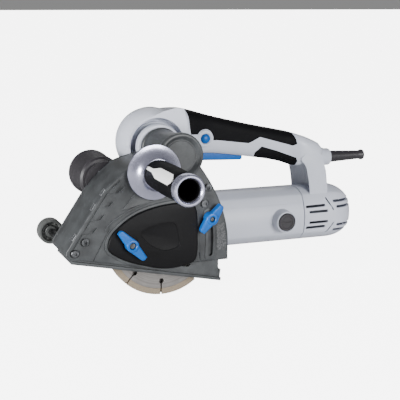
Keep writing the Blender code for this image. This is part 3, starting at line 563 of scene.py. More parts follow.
def grown(loop, distance):
    """An outline moved outward by a distance, point by point along its normals."""
    area = sum(a[0] * b[1] - b[0] * a[1] for a, b in zip(loop, loop[1:] + loop[:1]))
    side = 1 if area > 0 else -1
    moved = []
    for before, here, after in zip(loop[-1:] + loop[:-1], loop, loop[1:] + loop[:1]):
        run = Vector(after) - Vector(before)
        normal = Vector((run.y, -run.x)).normalized() * side
        moved.append((here[0] + normal.x * distance, here[1] + normal.y * distance))
    return moved


def rounded(loop, radius, count=5):
    """An outline with each corner replaced by a short curve that starts radius away from it."""
    result = []
    for before, here, after in zip(loop[-1:] + loop[:-1], loop, loop[1:] + loop[:1]):
        here = Vector(here)
        back, ahead = Vector(before) - here, Vector(after) - here
        start = here + back.normalized() * min(radius, back.length * 0.45)
        end = here + ahead.normalized() * min(radius, ahead.length * 0.45)
        for i in range(count):
            t = i / (count - 1)
            result.append(tuple((1 - t) ** 2 * start + 2 * t * (1 - t) * here + t * t * end))
    return result


def stroke(points, width):
    """A strip of constant width along an open line of points."""
    left, right = [], []
    for i, here in enumerate(points):
        before = Vector(points[max(i - 1, 0)])
        after = Vector(points[min(i + 1, len(points) - 1)])
        run = (after - before).normalized()
        side = Vector((-run.y, run.x)) * width / 2
        left.append(tuple(Vector(here) + side))
        right.append(tuple(Vector(here) - side))
    return left + right[::-1]


def sole_height(x):
    return SOLE_FRONT[1] + (x - SOLE_FRONT[0]) * tan(SOLE_TILT)


def guard_outline():
    """Side view of the guard, anticlockwise from its front bottom corner."""
    rise = SOLE_THICK / cos(SOLE_TILT) + 2.2 * MM
    bottom = [(x * MM, sole_height(x * MM) + rise) for x in (-130, -95, -30, -6)]
    step = mm((34, -27.5), (80, -27.5))
    rear = mm((80, -14), (79.5, 5), (76, 26), (68, 50), (55, 76), (41, 97))
    top = mm((12, 108), (-12, 110), (-38, 105), (-56, 99), (-71, 88), (-84, 76))
    front = mm((-98, 57), (-135, 1), (-136, -4))
    return bottom + step + smooth(rear, 6, False) + smooth(top, 6, False) + front


def cover_outline():
    points = mm(
        (-83, 2), (-77, 20), (-55, 38), (-30, 48), (0, 53), (24, 51), (34, 42), (36, 10),
        (35, -18), (27, -27), (8, -30.5), (-10, -30.5), (-30, -26), (-54, -18.5), (-73, -9),
    )
    return smooth(points, 8)


def handle_outline():
    """Side view of the D-handle behind its dome, anticlockwise from under the grip."""
    under = mm((30, 88), (54, 91), (66, 96), (88, 96.5), (120, 93), (176, 84), (200, 78.5))
    bend = mm((214, 73.5), (226, 72), (240, 76))
    rear = mm((262, 76), (264, 90), (262, 97), (257, 103))
    top = mm((250, 106.8), (223, 117), (159, 131), (105, 144), (62, 156), (40, 158), (20, 156))
    return smooth(under, 5, False) + smooth(bend, 4, False) + rear + smooth(top, 6, False)


def slot_loop(half, top_spare, bottom_spare):
    """An arc-shaped slot round the shoe's pivot for the depth stud."""
    high = STUD_ANGLE + top_spare / STUD_REACH
    low = STUD_ANGLE - SWING - bottom_spare / STUD_REACH

    def on_arc(reach, angle):
        return (PIVOT_X + reach * cos(angle), PIVOT_Z + reach * sin(angle))

    angles = [low + (high - low) * i / 11 for i in range(12)]
    outer = [on_arc(STUD_REACH + half, angle) for angle in angles]
    inner = [on_arc(STUD_REACH - half, angle) for angle in reversed(angles)]
    return (outer + arc(on_arc(STUD_REACH, high), half, 30, 150, 7)
            + inner + arc(on_arc(STUD_REACH, low), half, 210, 330, 7))


def barrel_reach(angle, radius=BARREL_RADIUS):
    """The motor barrel's radius at an angle from +Z: four flatter faces that meet in soft creases.

    Each face has its middle and half spread in degrees, and its own larger radius in mm.
    """
    step = angle % (2 * pi)
    faces = ((0, 42, 55), (81, 39, 62), (180, 60, 49), (279, 39, 62))
    for centre, half, face_radius in faces:
        off = (step - radians(centre) + pi) % (2 * pi) - pi
        if abs(off) > radians(half) + 1e-6:
            continue
        wide = radius * sin(radians(half))
        bulge = face_radius * MM * radius / BARREL_RADIUS
        back = radius * cos(radians(half)) - sqrt(bulge ** 2 - wide ** 2)
        return back * cos(off) + sqrt(bulge ** 2 - (back * sin(off)) ** 2)
    return radius


# ---------------------------------------------------------------- geometry nodes


def new_tree(name, sockets):
    """A Geometry Nodes tree with named inputs; sockets pairs each name with its kind and value."""
    tree = bpy.data.node_groups.new(name, "GeometryNodeTree")
    tree.interface.new_socket("Geometry", in_out="INPUT", socket_type="NodeSocketGeometry")
    for label, (kind, value) in sockets.items():
        socket = tree.interface.new_socket(label, in_out="INPUT", socket_type=f"NodeSocket{kind}")
        if value is not None:
            socket.default_value = value
    tree.interface.new_socket("Geometry", in_out="OUTPUT", socket_type="NodeSocketGeometry")
    return tree, tree.nodes.new("NodeGroupInput").outputs


def close_tree(tree, geometry, finish):
    """Ends a tree in Realize Instances and Set Material."""
    real = node(tree, "GeometryNodeRealizeInstances", {0: geometry}).outputs[0]
    last = node(tree, "GeometryNodeSetMaterial", {"Geometry": real, "Material": finish}).outputs[0]
    node(tree, "NodeGroupOutput", {0: last})


def grow(name, tree, base=None, turn=AT_REST, **values):
    """Runs a tree on an object and returns the plain mesh that it makes, turned into place."""
    host = base or linked(name, bpy.data.meshes.new(name))
    modifier = host.modifiers.new("Grow", "NODES")
    modifier.node_group = tree
    sockets = [item for item in tree.interface.items_tree if item.in_out == "INPUT"]
    ids = {item.name: item.identifier for item in sockets}
    for label, value in values.items():
        modifier[ids[label]] = value
    bpy.context.view_layer.update()
    graph = bpy.context.evaluated_depsgraph_get()
    mesh = bpy.data.meshes.new_from_object(host.evaluated_get(graph))
    mesh.transform(turn)
    mesh.materials.clear()
    mesh.materials.append(values["Finish"])
    bpy.data.objects.remove(host)
    return linked(name, mesh)


def rings_tree():
    """A row of round beads on a tapering tube, such as moulded ribs; the row runs along Z."""
    tree, given = new_tree("bead_row", {
        "Count": ("Int", 8), "Pitch": ("Float", 0.003), "Radius": ("Float", 0.01),
        "Taper": ("Float", 0.0), "Bead": ("Float", 0.0008), "Finish": ("Material", None),
    })
    offset = node(tree, "ShaderNodeCombineXYZ", {"Z": given["Pitch"]}).outputs[0]
    line = node(tree, "GeometryNodeMeshLine",
                {"Count": given["Count"], "Offset": offset}).outputs[0]
    circle = node(tree, "GeometryNodeCurvePrimitiveCircle",
                  {"Resolution": 72, "Radius": 1.0}).outputs[0]
    index = node(tree, "GeometryNodeInputIndex").outputs[0]
    slimmer = node(tree, "ShaderNodeMath", {0: index, 1: given["Taper"]},
                   operation="MULTIPLY").outputs[0]
    radius = node(tree, "ShaderNodeMath", {0: given["Radius"], 1: slimmer},
                  operation="SUBTRACT").outputs[0]
    size = node(tree, "ShaderNodeCombineXYZ", {"X": radius, "Y": radius, "Z": 1.0}).outputs[0]
    rings = node(tree, "GeometryNodeInstanceOnPoints",
                 {"Points": line, "Instance": circle, "Scale": size}).outputs[0]
    curves = node(tree, "GeometryNodeRealizeInstances", {0: rings}).outputs[0]
    profile = node(tree, "GeometryNodeCurvePrimitiveCircle",
                   {"Resolution": 8, "Radius": given["Bead"]}).outputs[0]
    beads = node(tree, "GeometryNodeCurveToMesh",
                 {"Curve": curves, "Profile Curve": profile}).outputs[0]
    close_tree(tree, beads, given["Finish"])
    return tree


def round_tree():
    """Copies of a shape set round the Z axis, each turned to face outward."""
    tree, given = new_tree("copies_round_axis", {
        "Shape": ("Object", None), "Count": ("Int", 9), "Phase": ("Float", 0.0),
        "Finish": ("Material", None),
    })
    points = node(tree, "GeometryNodeMeshLine",
                  {"Count": given["Count"], "Offset": (0, 0, 0)}).outputs[0]
    shape = node(tree, "GeometryNodeObjectInfo", {"Object": given["Shape"]}).outputs["Geometry"]
    index = node(tree, "GeometryNodeInputIndex").outputs[0]
    part = node(tree, "ShaderNodeMath", {0: 2 * pi, 1: given["Count"]},
                operation="DIVIDE").outputs[0]
    angle = node(tree, "ShaderNodeMath", {0: index, 1: part, 2: given["Phase"]},
                 operation="MULTIPLY_ADD").outputs[0]
    turn = node(tree, "ShaderNodeCombineXYZ", {"Z": angle}).outputs[0]
    settings = {"Points": points, "Instance": shape, "Rotation": turn}
    copies = node(tree, "GeometryNodeInstanceOnPoints", settings).outputs[0]
    close_tree(tree, copies, given["Finish"])
    return tree


def along_tree():
    """Copies of a shape spaced along the base curve, each turned to the curve's run."""
    tree, given = new_tree("copies_along_path", {
        "Shape": ("Object", None), "Count": ("Int", 4), "Finish": ("Material", None),
    })
    settings = {"Curve": given["Geometry"], "Count": given["Count"]}
    points = node(tree, "GeometryNodeCurveToPoints", settings, mode="COUNT")
    shape = node(tree, "GeometryNodeObjectInfo", {"Object": given["Shape"]}).outputs["Geometry"]
    turn = node(tree, "FunctionNodeAlignEulerToVector", {"Vector": points.outputs["Tangent"]},
                axis="X", pivot_axis="Y").outputs[0]
    settings = {"Points": points.outputs[0], "Instance": shape, "Rotation": turn}
    copies = node(tree, "GeometryNodeInstanceOnPoints", settings).outputs[0]
    close_tree(tree, copies, given["Finish"])
    return tree


def socket_head_tree():
    """Cap screws with a hexagon socket, one on each base point, their heads towards -Y."""
    tree, given = new_tree("socket_heads", {
        "Radius": ("Float", 0.0046), "Height": ("Float", 0.003), "Key": ("Float", 0.0024),
        "Finish": ("Material", None),
    })
    head = node(tree, "GeometryNodeMeshCylinder", {
        "Vertices": 40, "Radius": given["Radius"], "Depth": given["Height"]}).outputs["Mesh"]
    key = node(tree, "GeometryNodeMeshCylinder", {
        "Vertices": 6, "Radius": given["Key"], "Depth": given["Height"]}).outputs["Mesh"]
    up = node(tree, "ShaderNodeMath", {0: given["Height"], 1: 0.45},
              operation="MULTIPLY").outputs[0]
    raised = node(tree, "ShaderNodeCombineXYZ", {"Z": up}).outputs[0]
    key = node(tree, "GeometryNodeTransform", {"Geometry": key, "Translation": raised}).outputs[0]
    head = node(tree, "GeometryNodeMeshBoolean", {0: head, 1: key},
                operation="DIFFERENCE").outputs[0]
    head = node(tree, "GeometryNodeTransform",
                {"Geometry": head, "Rotation": (pi / 2, 0, 0)}).outputs[0]
    copies = node(tree, "GeometryNodeInstanceOnPoints",
                  {"Points": given["Geometry"], "Instance": head}).outputs[0]
    close_tree(tree, copies, given["Finish"])
    return tree


BEADS = rings_tree()
ROUND = round_tree()
ALONG = along_tree()
SOCKETS = socket_head_tree()


def points_on(name, places):
    """A mesh of loose points, the base for trees that copy onto points."""
    mesh = bpy.data.meshes.new(name)
    mesh.from_pydata([tuple(place) for place in places], [], [])
    return linked(name, mesh)


def round_axis(name, axis, centre, shape, count, phase=0.0, finish="zinc"):
    """Copies of a shape, drawn beside the Z axis, set round another axis."""
    turn = Matrix.Translation(centre) @ AXES[axis]
    made = grow(name, ROUND, turn=turn, Shape=shape, Count=count, Phase=phase,
                Finish=FINISHES[finish])
    bpy.data.objects.remove(shape)
    return made


def beads(name, axis, centre, count, pitch, radius, bead, taper=0.0, finish="black"):
    """A row of round ribs along an axis, the first one at the centre; lengths in mm."""
    turn = Matrix.Translation(centre) @ AXES[axis]
    return grow(name, BEADS, turn=turn, Count=count, Pitch=pitch * MM, Radius=radius * MM,
                Taper=taper * MM, Bead=bead * MM, Finish=FINISHES[finish])


def path_curve(name, points, y):
    """A straight-segment curve through (x, z) points at one depth."""
    curve = bpy.data.curves.new(name, "CURVE")
    curve.dimensions = "3D"
    spline = curve.splines.new("POLY")
    spline.points.add(len(points) - 1)
    for point, (x, z) in zip(spline.points, points):
        point.co = (x, y, z, 1)
    return linked(name, curve)


# ---------------------------------------------------------------- guard

PAD_CENTRES = ((-71.5, 74), (-84.5, 57.5), (-96, 41.5), (-105.5, 25.5))
PAD_SHAPE = ((-6, 3.6), (10, 3.6), (3, -4), (-12, -4))
POCKET_SHAPE = ((3.4, 2.6), (9, 2.6), (4.6, -2.8), (-0.6, -2.8))
COVER_PANEL = ((-44, 19), (-29, 26.5), (-12, 29.5), (6, 30), (12.5, -3), (-10, -8), (-30, 2))
DEPTH_RIDGE = ((35, 19), (42.5, -25))


def hole(x, z, radius, y=NEAR_Y, half=9 * MM, sides=48):
    return cylinder("hole", "Y", (x, y, z), radius, half, sides)


def raised(name, loop, height, edge=0.5 * MM, finish=None):
    """A low pad on the guard's near face."""
    pad = plate(name, [loop], NEAR_Y - height, NEAR_Y + MM, edge=edge, rounds=2)
    return painted(pad, finish) if finish else pad


def lobe():
    """The round end of the handle's trunnion, dished in the middle."""
    return turned("lobe", "Y", (TRUNNION_X, 0, TRUNNION_Z), [
        (0, -113), (19.6, -113), (20.4, -112.4), (21.6, -112.4), (24.6, -115.6), (26.4, -116.6),
        (28.4, -116.4), (29.7, -115.2), (30, -113.5), (30, -109), (29, -106), (0, -106),
    ])


def front_boss():
    return turned("boss", "Y", (AUX_X, 0, AUX_Z), [
        (0, -117), (18.2, -117), (19, -116.2), (19, -112), (22, -109.5), (0, -109.5),
    ])


def sunk(x, z, shape, depth):
    """A cutter for a sunk panel of the guard's near face."""
    loop = mm(*[(x + across, z + up) for across, up in shape])
    return plate("sunk", [rounded(loop, 0.8 * MM)], NEAR_Y - 4 * MM, NEAR_Y + depth)


def front_groove():
    """The dark line behind the front wall's near edge."""
    line = smooth(mm((-66, 86), (-80, 75), (-93, 57), (-129, 1)), 5, False)
    return plate("groove", [stroke(line, 2.6 * MM)], NEAR_Y - 4 * MM, NEAR_Y + 1.4 * MM)


def depth_slot():
    return plate("slot", [slot_loop(3.6 * MM, MM, MM)], NEAR_Y - 6 * MM, NEAR_Y + 6 * MM)


def guard_housing():
    outline = guard_outline()
    inside = grown(outline, -GUARD_WALL)
    open_below = [(x, z - 12 * MM) for x, z in inside[:6]] + inside[6:]
    body = plate("guard_housing", [outline], NEAR_Y, FAR_Y - GUARD_WALL - GAP, edge=1.8 * MM)
    body = cut(body, plate("cavity", [open_below], NEAR_Y + GUARD_WALL, FAR_Y + GUARD_WALL))
    rim = plate("rim", [grown(cover_outline(), 3.4 * MM)], NEAR_Y - 2 * MM, NEAR_Y + MM,
                edge=0.8 * MM)
    rim = kept(rim, plate("clip", [grown(outline, -0.3 * MM)], NEAR_Y - 5 * MM, NEAR_Y + 5 * MM))
    body = join(body, rim, lobe(), front_boss())
    run = NEAR_Y + GUARD_WALL
    room_half = (FAR_Y + 5 * MM - run) / 2
    seat = plate("seat", [grown(cover_outline(), 0.5 * MM)], NEAR_Y - 4 * MM, NEAR_Y + 0.1 * MM)
    seam = plate("seam", [stroke(mm((-80, 26), (-84, 20), (-92.5, 4), (-102, -14)), 1.2 * MM)],
                 NEAR_Y - MM, NEAR_Y + 0.9 * MM)
    return cut(
        body,
        *[sunk(x, z, PAD_SHAPE, 0.9 * MM) for x, z in PAD_CENTRES],
        *[sunk(x, z, POCKET_SHAPE, 2.5 * MM) for x, z in PAD_CENTRES],
        front_groove(),
        seam,
        hole(TRUNNION_X, TRUNNION_Z, 25.8 * MM, run + room_half, room_half, 64),
        seat,
        depth_slot(),
        hole(-2 * MM, 10 * MM, 34 * MM, sides=64),
        hole(AUX_X, AUX_Z, 13.6 * MM, half=14 * MM),
        hole(PIVOT_X, PIVOT_Z, 3.3 * MM),
        hole(PIVOT_X, PIVOT_Z, 6.4 * MM, y=NEAR_Y - 6 * MM, half=6.8 * MM),
        hole(*COVER_STUD, 4.3 * MM),
        *[hole(x, z, 2.8 * MM) for x, z in GUARD_SCREWS],
        *[hole(x, z, 6.2 * MM, y=NEAR_Y - 6 * MM, half=7 * MM) for x, z in GUARD_SCREWS],
    )


def reliefs():
    """Low shapes that stand on the near face: ridges and the border of the stud's slot."""
    ridge = mm((-86, 23), (-79.5, 33), (-60, 44.6), (-43.7, 52), (-24, 57.4), (0, 61))
    ridge = smooth(ridge, 6, False)
    border = raised("slot_border", slot_loop(7 * MM, 5 * MM, 4 * MM), 1.6 * MM, 0.7 * MM)
    shapes = [
        raised("ridge", stroke(ridge, 2.2 * MM), 1.3 * MM),
        raised("facet", rounded(mm((-66, 47.5), (-45.5, 70), (-25, 58)), 1.5 * MM), 0.9 * MM),
        raised("rear_ridge", stroke(mm(*DEPTH_RIDGE), 3 * MM), 1.6 * MM, 0.9 * MM),
        cut(border, depth_slot()),
    ]
    return [painted(shape, "guard") for shape in shapes]


def grit_patch():
    """The rear strip's sand-textured panel."""
    loop = mm((62.5, 19), (73.5, 23), (76.6, 4), (77.2, -13), (64, -14.5))
    return raised("grit", rounded(loop, 2 * MM), 0.5 * MM, 0.3 * MM, "guard_grit")


def band_windows():
    """Four small frames on the guard's front wall, spaced along it, their light bare-metal grey a
    painted highlight on the wall's edge.
    """
    y = NEAR_Y + 5.6 * MM
    frame_piece = box("frame_piece", (-4.6 * MM, -3.6 * MM, -0.3 * MM),
                      (4.6 * MM, 3.6 * MM, 0.7 * MM))
    frame_piece = cut(frame_piece,
                      box("window", (-3.7 * MM, -2.7 * MM, -MM), (3.7 * MM, 2.7 * MM, 2 * MM)))
    path = path_curve("front_wall", mm((-87, 72), (-98, 57), (-111, 36), (-124, 18)), y)
    # The frames take the light grey that paints the front wall's edge highlight
    made = grow("band_windows", ALONG, path, Shape=frame_piece, Count=4, Finish=FINISHES["shine"])
    bpy.data.objects.remove(frame_piece)
    return made


def build_guard():
    shell = painted(guard_housing(), "guard")
    shell = together("guard_shell", [shell, *reliefs(), grit_patch(), band_windows()])
    placed(shell, "chassis", None, ["guard_housing"])
    back = plate("back_plate", [guard_outline()], FAR_Y - GUARD_WALL, FAR_Y, edge=0.8 * MM)
    middle = FAR_Y - GUARD_WALL / 2
    ear = cylinder("ear", "Y", (OUTLET_X, middle, OUTLET_Z), 24 * MM, GUARD_WALL / 2)
    ear_hole = hole(OUTLET_X + 5 * MM, OUTLET_Z - 3 * MM, 13 * MM, middle)
    ear = cut(ear, ear_hole, plate("overlap", [guard_outline()], FAR_Y - 9 * MM, FAR_Y + 9 * MM))
    back = cut(
        back,
        hole(OUTLET_X + 5 * MM, OUTLET_Z - 3 * MM, 13 * MM, middle),
        hole(0, 0, 24.6 * MM, middle, sides=64),
        hole(PIVOT_X, PIVOT_Z, 3.3 * MM, middle),
        hole(TRUNNION_X, TRUNNION_Z, 25.8 * MM, middle, sides=64),
        box("barrel_notch", (52 * MM, FAR_Y - 9 * MM, -21 * MM),
            (95 * MM, FAR_Y + 9 * MM, 21 * MM)),
    )
    back = together("back_plate_look", [painted(back, "guard"), painted(ear, "dust")])
    placed(back, "chassis", None, ["guard_back_plate"])
    heads = points_on("heads", [(x, NEAR_Y - 0.9 * MM, z) for x, z in GUARD_SCREWS])
    heads = grow("guard_screws", SOCKETS, heads, Radius=4.6 * MM, Height=3 * MM, Key=2.5 * MM,
                 Finish=FINISHES["dark_zinc"])
    shanks = [
        cylinder("shank", "Y", (x, NEAR_Y + 5 * MM, z), 2.5 * MM, 5 * MM, 24)
        for x, z in GUARD_SCREWS
    ]
    screws = together("guard_screw_set", [heads, *[painted(shank, "zinc") for shank in shanks]])
    placed(screws, "chassis", None, ["guard_screw_upper", "guard_screw_lower", "guard_screw_front"])


def build_trunnion():
    neck = turned("trunnion", "Y", (TRUNNION_X, 0, TRUNNION_Z), [
        (0, -106.7), (24.5, -106.7), (25.5, -105.7), (25.5, -44), (26.6, -42.6), (26.6, -39.6),
        (25.5, -38.4), (25.5, -27), (21, -27), (21, 14), (0, 14),
    ])
    placed(neck, "chassis", "guard", ["handle_trunnion"])
    collar = turned("collar", "Y", (TRUNNION_X, 0, TRUNNION_Z), [
        (25.8, -37), (27, -37.4), (29, -36.8), (30.3, -35.2), (30.5, -33), (30.5, -27), (25.8, -27),
    ], ring=True)
    placed(collar, "chassis", "silver", ["trunnion_collar"])


def build_dust_adapter():
    cup = turned("dust_cup", "Y", (OUTLET_X, 0, OUTLET_Z), [
        (17.5, -38.7), (22, -38.7), (22, -33), (26, -32), (28.5, -29), (28.5, 17), (29.5, 18.5),
        (30, 20), (30, 23), (29.4, 24), (26, 24), (25, 23), (25, -28), (17.5, -31),
    ], ring=True)
    ribs = beads("dust_ribs", "Y", (OUTLET_X, -24 * MM, OUTLET_Z), 9, 4.6, 28.4, 0.55,
                 finish="dust")
    placed(together("dust_adapter_look", [painted(cup, "dust"), ribs]), "chassis", None,
           ["dust_adapter"])


def tube_radius(y):
    """Outside of the front handle's rubber, in mm, at a depth in mm."""
    stations = ((-132.5, 17.6), (-150, 18.6), (-180, 19), (-210, 18.4), (-227.3, 17.4))
    for (y0, r0), (y1, r1) in zip(stations, stations[1:]):
        if y1 <= y <= y0:
            return r0 + (r1 - r0) * (y - y0) / (y1 - y0)
    return stations[-1][1]


def inlay_patch(name, stations, middle, lift, finish):
    """A patch on the tube that follows its round; stations are (y, half width) in mm."""
    loops = []
    for y, half in stations:
        radius = tube_radius(y)
        spread = [middle + (half / radius) * (i / 5 - 1) for i in range(11)]
        top = [(radius + lift, a) for a in spread]
        under = [(radius - 0.8, a) for a in reversed(spread)]
        loops.append([
            Vector((AUX_X + r * cos(a) * MM, y * MM, AUX_Z + r * sin(a) * MM))
            for r, a in top + under
        ])
    return painted(bridged(name, loops), finish)


def build_front_handle():
    core = turned("aux_core", "Y", (AUX_X, 0, AUX_Z), [
        (13.6, -117.3), (33.4, -117.3), (34.4, -118), (34.8, -119.2), (34.2, -120.4), (31, -121.2),
        (27, -122.6), (23.6, -124.8), (21, -127.4), (19.4, -130), (18.6, -132.2), (16, -132.4),
        (16, -227.5), (18.2, -227.7), (19, -228.6), (19.2, -231), (19.2, -236.4), (18.6, -238.6),
        (17, -239.8), (15.6, -239.8), (14.2, -238.6), (13.6, -236.5),
    ], ring=True, sides=128)
    # Painted shade: a thin black liner darkens the tube's bore, where shade falls inside it
    liner = turned("liner", "Y", (AUX_X, 0, AUX_Z), [
        (12.9, -235.8), (13.7, -235.8), (13.7, -118), (12.9, -118),
    ], ring=True)
    core = together("aux_core_look", [painted(core, "tube"), painted(liner, "black")])
    placed(core, "chassis", None, ["aux_handle_core"])
    grip = turned("aux_grip", "Y", (AUX_X, 0, AUX_Z), [
        (16.3, -132.6), (17.2, -132.6), (17.8, -133.4), (18.6, -150), (19, -180), (18.4, -210),
        (17.6, -226), (17, -227.2), (16.3, -227.2),
    ], ring=True, sides=128)
    grooves = beads("groove", "Y", (AUX_X, -137 * MM, AUX_Z), 2, -85, 18, 0.4, finish="rubber")
    strip = [(-135, 2.0), (-158, 2.4), (-160, 3), (-171, 6.6), (-174, 7.2), (-214, 7.2), (-222, 2),
             (-223, 1)]
    panel = inlay_patch("inlay", strip, radians(148), 0.25, "inlay")
    placed(together("aux_grip_look", [painted(grip, "rubber"), grooves, panel]), "chassis", None,
           ["aux_handle_grip"])


# ---------------------------------------------------------------- cover, nuts, roller, shoe


def wing_nut(name, place, bore, front, back, span, angle):
    """Two offset wings on a round hub; lengths in mm, the angle in degrees."""
    x, z = place
    hub = turned(name, "Y", (x, 0, z), [
        (bore, back), (7.2, back), (8, back - 0.8), (8, front + 1.4), (7.2, front + 0.3),
        (6, front),
        (bore + 0.8, front), (bore, front + 0.8),
    ], ring=True)
    half = span / 2
    wing = [(half, 1.5), *arc((half - 4, -2), 4, 45, -90, 9)[1:], (9, -7), (3, -7.8)]
    loop = mm(*wing, *[(-across, -up) for across, up in wing])
    turn = Matrix.Rotation(radians(angle), 2)
    loop = [tuple(turn @ Vector(point) + Vector(place)) for point in loop]
    wings = plate("wings", [loop], (front + 1) * MM, (back - 3) * MM, edge=1.8 * MM)
    return cut(join(hub, wings), hole(x, z, (bore + 0.01) * MM, (front + back) / 2 * MM, 20 * MM))


def threaded_end(name, place, radius, start, end, head):
    """A stud whose last part carries turned ribs for its thread; lengths in mm."""
    x, z = place
    rod = turned(name, "Y", (x, 0, z), [
        (0, start), (radius - 0.7, start), (radius - 0.2, start + 0.6), (radius - 0.2, end - 4),
        (radius, end - 3.8), (head, end - 3.8), (head, end), (0, end),
    ])
    thread = beads("thread", "Y", (x, (start + 1.2) * MM, z), 9, 0.8, radius - 0.25, 0.22,
                   finish="dark_zinc")
    return together(name, [painted(rod, "dark_zinc"), thread])


def build_cover():
    body = plate("cover", [cover_outline()], -114.5 * MM, NEAR_Y - GAP, edge=2.2 * MM)
    skirt = hole(-2 * MM, 10 * MM, 33 * MM, NEAR_Y + 0.6 * MM, 2 * MM, 64)
    panel = rounded(mm(*COVER_PANEL), 9 * MM, 8)
    recess = plate("recess", [panel], -119 * MM, -113.4 * MM, edge=0.9 * MM)
    spot = turned("spot", "Y", (COVER_STUD[0], 0, COVER_STUD[1]), [
        (0, -118), (11, -118), (10, -114), (0, -114),
    ])
    body = cut(join(body, skirt), recess, spot, hole(*COVER_STUD, 4.3 * MM))
    placed(body, "cover", "black", ["access_cover"])
    nut = wing_nut("cover_nut_look", COVER_STUD, 4.3, -126, -114.8, 50, -44)
    placed(nut, "cover_nut", "blue", ["cover_wing_nut"])
    stud = threaded_end("cover_stud_look", COVER_STUD, 4, -123.5, -103, 7)
    placed(stud, "chassis", None, ["cover_stud"])


def build_roller():
    wheel = turned("wheel", "Y", (PIVOT_X, 0, PIVOT_Z), [
        (3.3, 9.6), (7, 9.6), (7.6, 10.2), (8, 12.4), (12, 12.4), (12.6, 9), (13.4, 8.2),
        (15.4, 8.2),
        (16.6, 8.8), (17, 10), (17, 22), (16.6, 23.2), (15.4, 23.8), (3.3, 23.8),
    ], ring=True)
    rib = box("rib", (9 * MM, -0.9 * MM, -2.6 * MM), (12.4 * MM, 0.9 * MM, 1.6 * MM))
    rib = softened(rib, 0.3 * MM)
    ribs = round_axis("ribs", "Y", (PIVOT_X, 12.5 * MM, PIVOT_Z), rib, 6, finish="wheel")
    placed(together("roller_look", [painted(wheel, "wheel"), ribs]), "roller", None,
           ["roller_wheel"])
    axle = turned("axle", "Y", (PIVOT_X, 0, PIVOT_Z), [
        (0, -111.6), (2.2, -111.6), (2.2, -113.4), (4.4, -113.4), (5, -112.8), (5, -110.3),
        (3, -110.3),
        (3, -38.7), (4.2, -38.7), (4.6, -38.2), (4.6, 7.2), (4.2, 7.7), (3, 7.7), (3, 24.3),
        (5, 24.3), (5, 27), (4.2, 28), (0, 28),
    ])
    placed(axle, "chassis", "dark_zinc", ["roller_axle"])


def shoe_wall(name, near, far, arm):
    """Side wall along the sole, with a lug on the axle and, near side, an arm to the stud."""
    top = SOLE_THICK / cos(SOLE_TILT)
    first = SOLE_FRONT[0] + 2 * MM
    last = SOLE_FRONT[0] + SOLE_LENGTH * cos(SOLE_TILT) - 2 * MM
    height = 9 * MM
    low_edge = [(x, sole_height(x) + top / 2) for x in (first, last)]
    if arm:
        high_edge = mm((68, -20)) + arc((STUD_X, STUD_Z), 10 * MM, 0, 180, 16) + mm((40, -22))
    else:
        high_edge = [(last, sole_height(last) + top + height)]
    inner = [(x, sole_height(x) + top + height) for x in (26 * MM, -100 * MM)]
    lug = arc((PIVOT_X, PIVOT_Z), 6.2 * MM, 40, 180, 12)
    return plate(name, [low_edge + high_edge + inner + lug], near, far, edge=0.5 * MM)


def build_shoe():
    run, rise = cos(SOLE_TILT), sin(SOLE_TILT)
    x0, z0 = SOLE_FRONT
    x1, z1 = x0 + SOLE_LENGTH * run, z0 + SOLE_LENGTH * rise
    lift = SOLE_THICK
    strip = [(x0, z0), (x1, z1), (x1 - lift * rise, z1 + lift * run),
             (x0 - lift * rise, z0 + lift * run)]
    body = plate("shoe_body", [strip], NEAR_Y, FAR_Y, edge=0.7 * MM)
    near = NEAR_Y + GUARD_WALL + GAP
    far = FAR_Y - GUARD_WALL - GAP
    lip = [(x1 + across * MM, z1 + up * MM) for across, up in ((-3, 1), (0, 1), (2, 14), (-1, 14))]
    body = join(
        body,
        shoe_wall("near_wall", near, near + 2.5 * MM, True),
        shoe_wall("far_wall", far - 2.5 * MM, far, False),
        plate("lip", [lip], near + MM, far - MM, edge=0.6 * MM),
    )
    middle = SOLE_LENGTH * 0.62
    turn = Matrix.Translation((x0 + middle * run, (DISC_YS["near"] + DISC_YS["far"]) / 2,
                               z0 + middle * rise))
    turn = turn @ Matrix.Rotation(-SOLE_TILT, 4, "Y")
    gap = box("disc_slot", (-68 * MM, -17 * MM, -9 * MM), (68 * MM, 17 * MM, 9 * MM), turn)
    body = cut(body, gap, hole(PIVOT_X, PIVOT_Z, 3.3 * MM, -75 * MM, 50 * MM),
               hole(STUD_X, STUD_Z, 3.5 * MM))
    placed(body, "shoe", "guard", ["shoe"])
    stud = threaded_end("depth_stud_look", (STUD_X, STUD_Z), 3.2, -122.5, -101, 7)
    placed(stud, "shoe", None, ["depth_stud"])
    nut = wing_nut("depth_nut_look", (STUD_X, STUD_Z), 3.6, -125, -112, 43, 56)
    placed(nut, "depth_nut", "blue", ["depth_wing_nut"])


# ---------------------------------------------------------------- discs and spindle


def disc_look(place):
    """Steel core, keyhole slots and nine pressed segments."""
    y = DISC_YS[place]
    bore, rim, reach = 11.1, 67, 57
    core = turned(f"disc_{place}", "Y", (0, y, 0), [
        (bore, 0.9), (bore, -0.9), (rim, -0.9), (rim, 0.9),
    ], ring=True, sides=144)
    slit = box("slit", (reach * MM, -0.9 * MM, -3 * MM), (80 * MM, 0.9 * MM, 3 * MM))
    eye = cylinder("eye", "Z", (reach * MM, 0, 0), 3.4 * MM, 3 * MM, 24)
    phase = radians(91.3 if place == "near" else 111.3)
    slots = round_axis("slots", "Y", (0, y, 0), join(slit, eye), SEGMENTS, phase, "disc")
    core = painted(cut(core, slots), "disc")
    spread = 2 * pi / SEGMENTS - 2.4 / 75
    outer = [(75 * cos(a), 75 * sin(a)) for a in (spread * (i / 10 - 0.5) for i in range(11))]
    inner = [(rim * cos(a), rim * sin(a)) for a in (spread * (0.5 - i / 10) for i in range(11))]
    loops = [[Vector((x, z, side * 1.2)) * MM for x, z in outer + inner] for side in (-1, 1)]
    segments = round_axis("segments", "Y", (0, y, 0), bridged("segment", loops), SEGMENTS,
                          phase + pi / SEGMENTS, "segment")
    node_name = f"cutting_disc_{place}"
    placed(together(f"disc_look_{place}", [core, segments]), "spindle", None, [node_name])


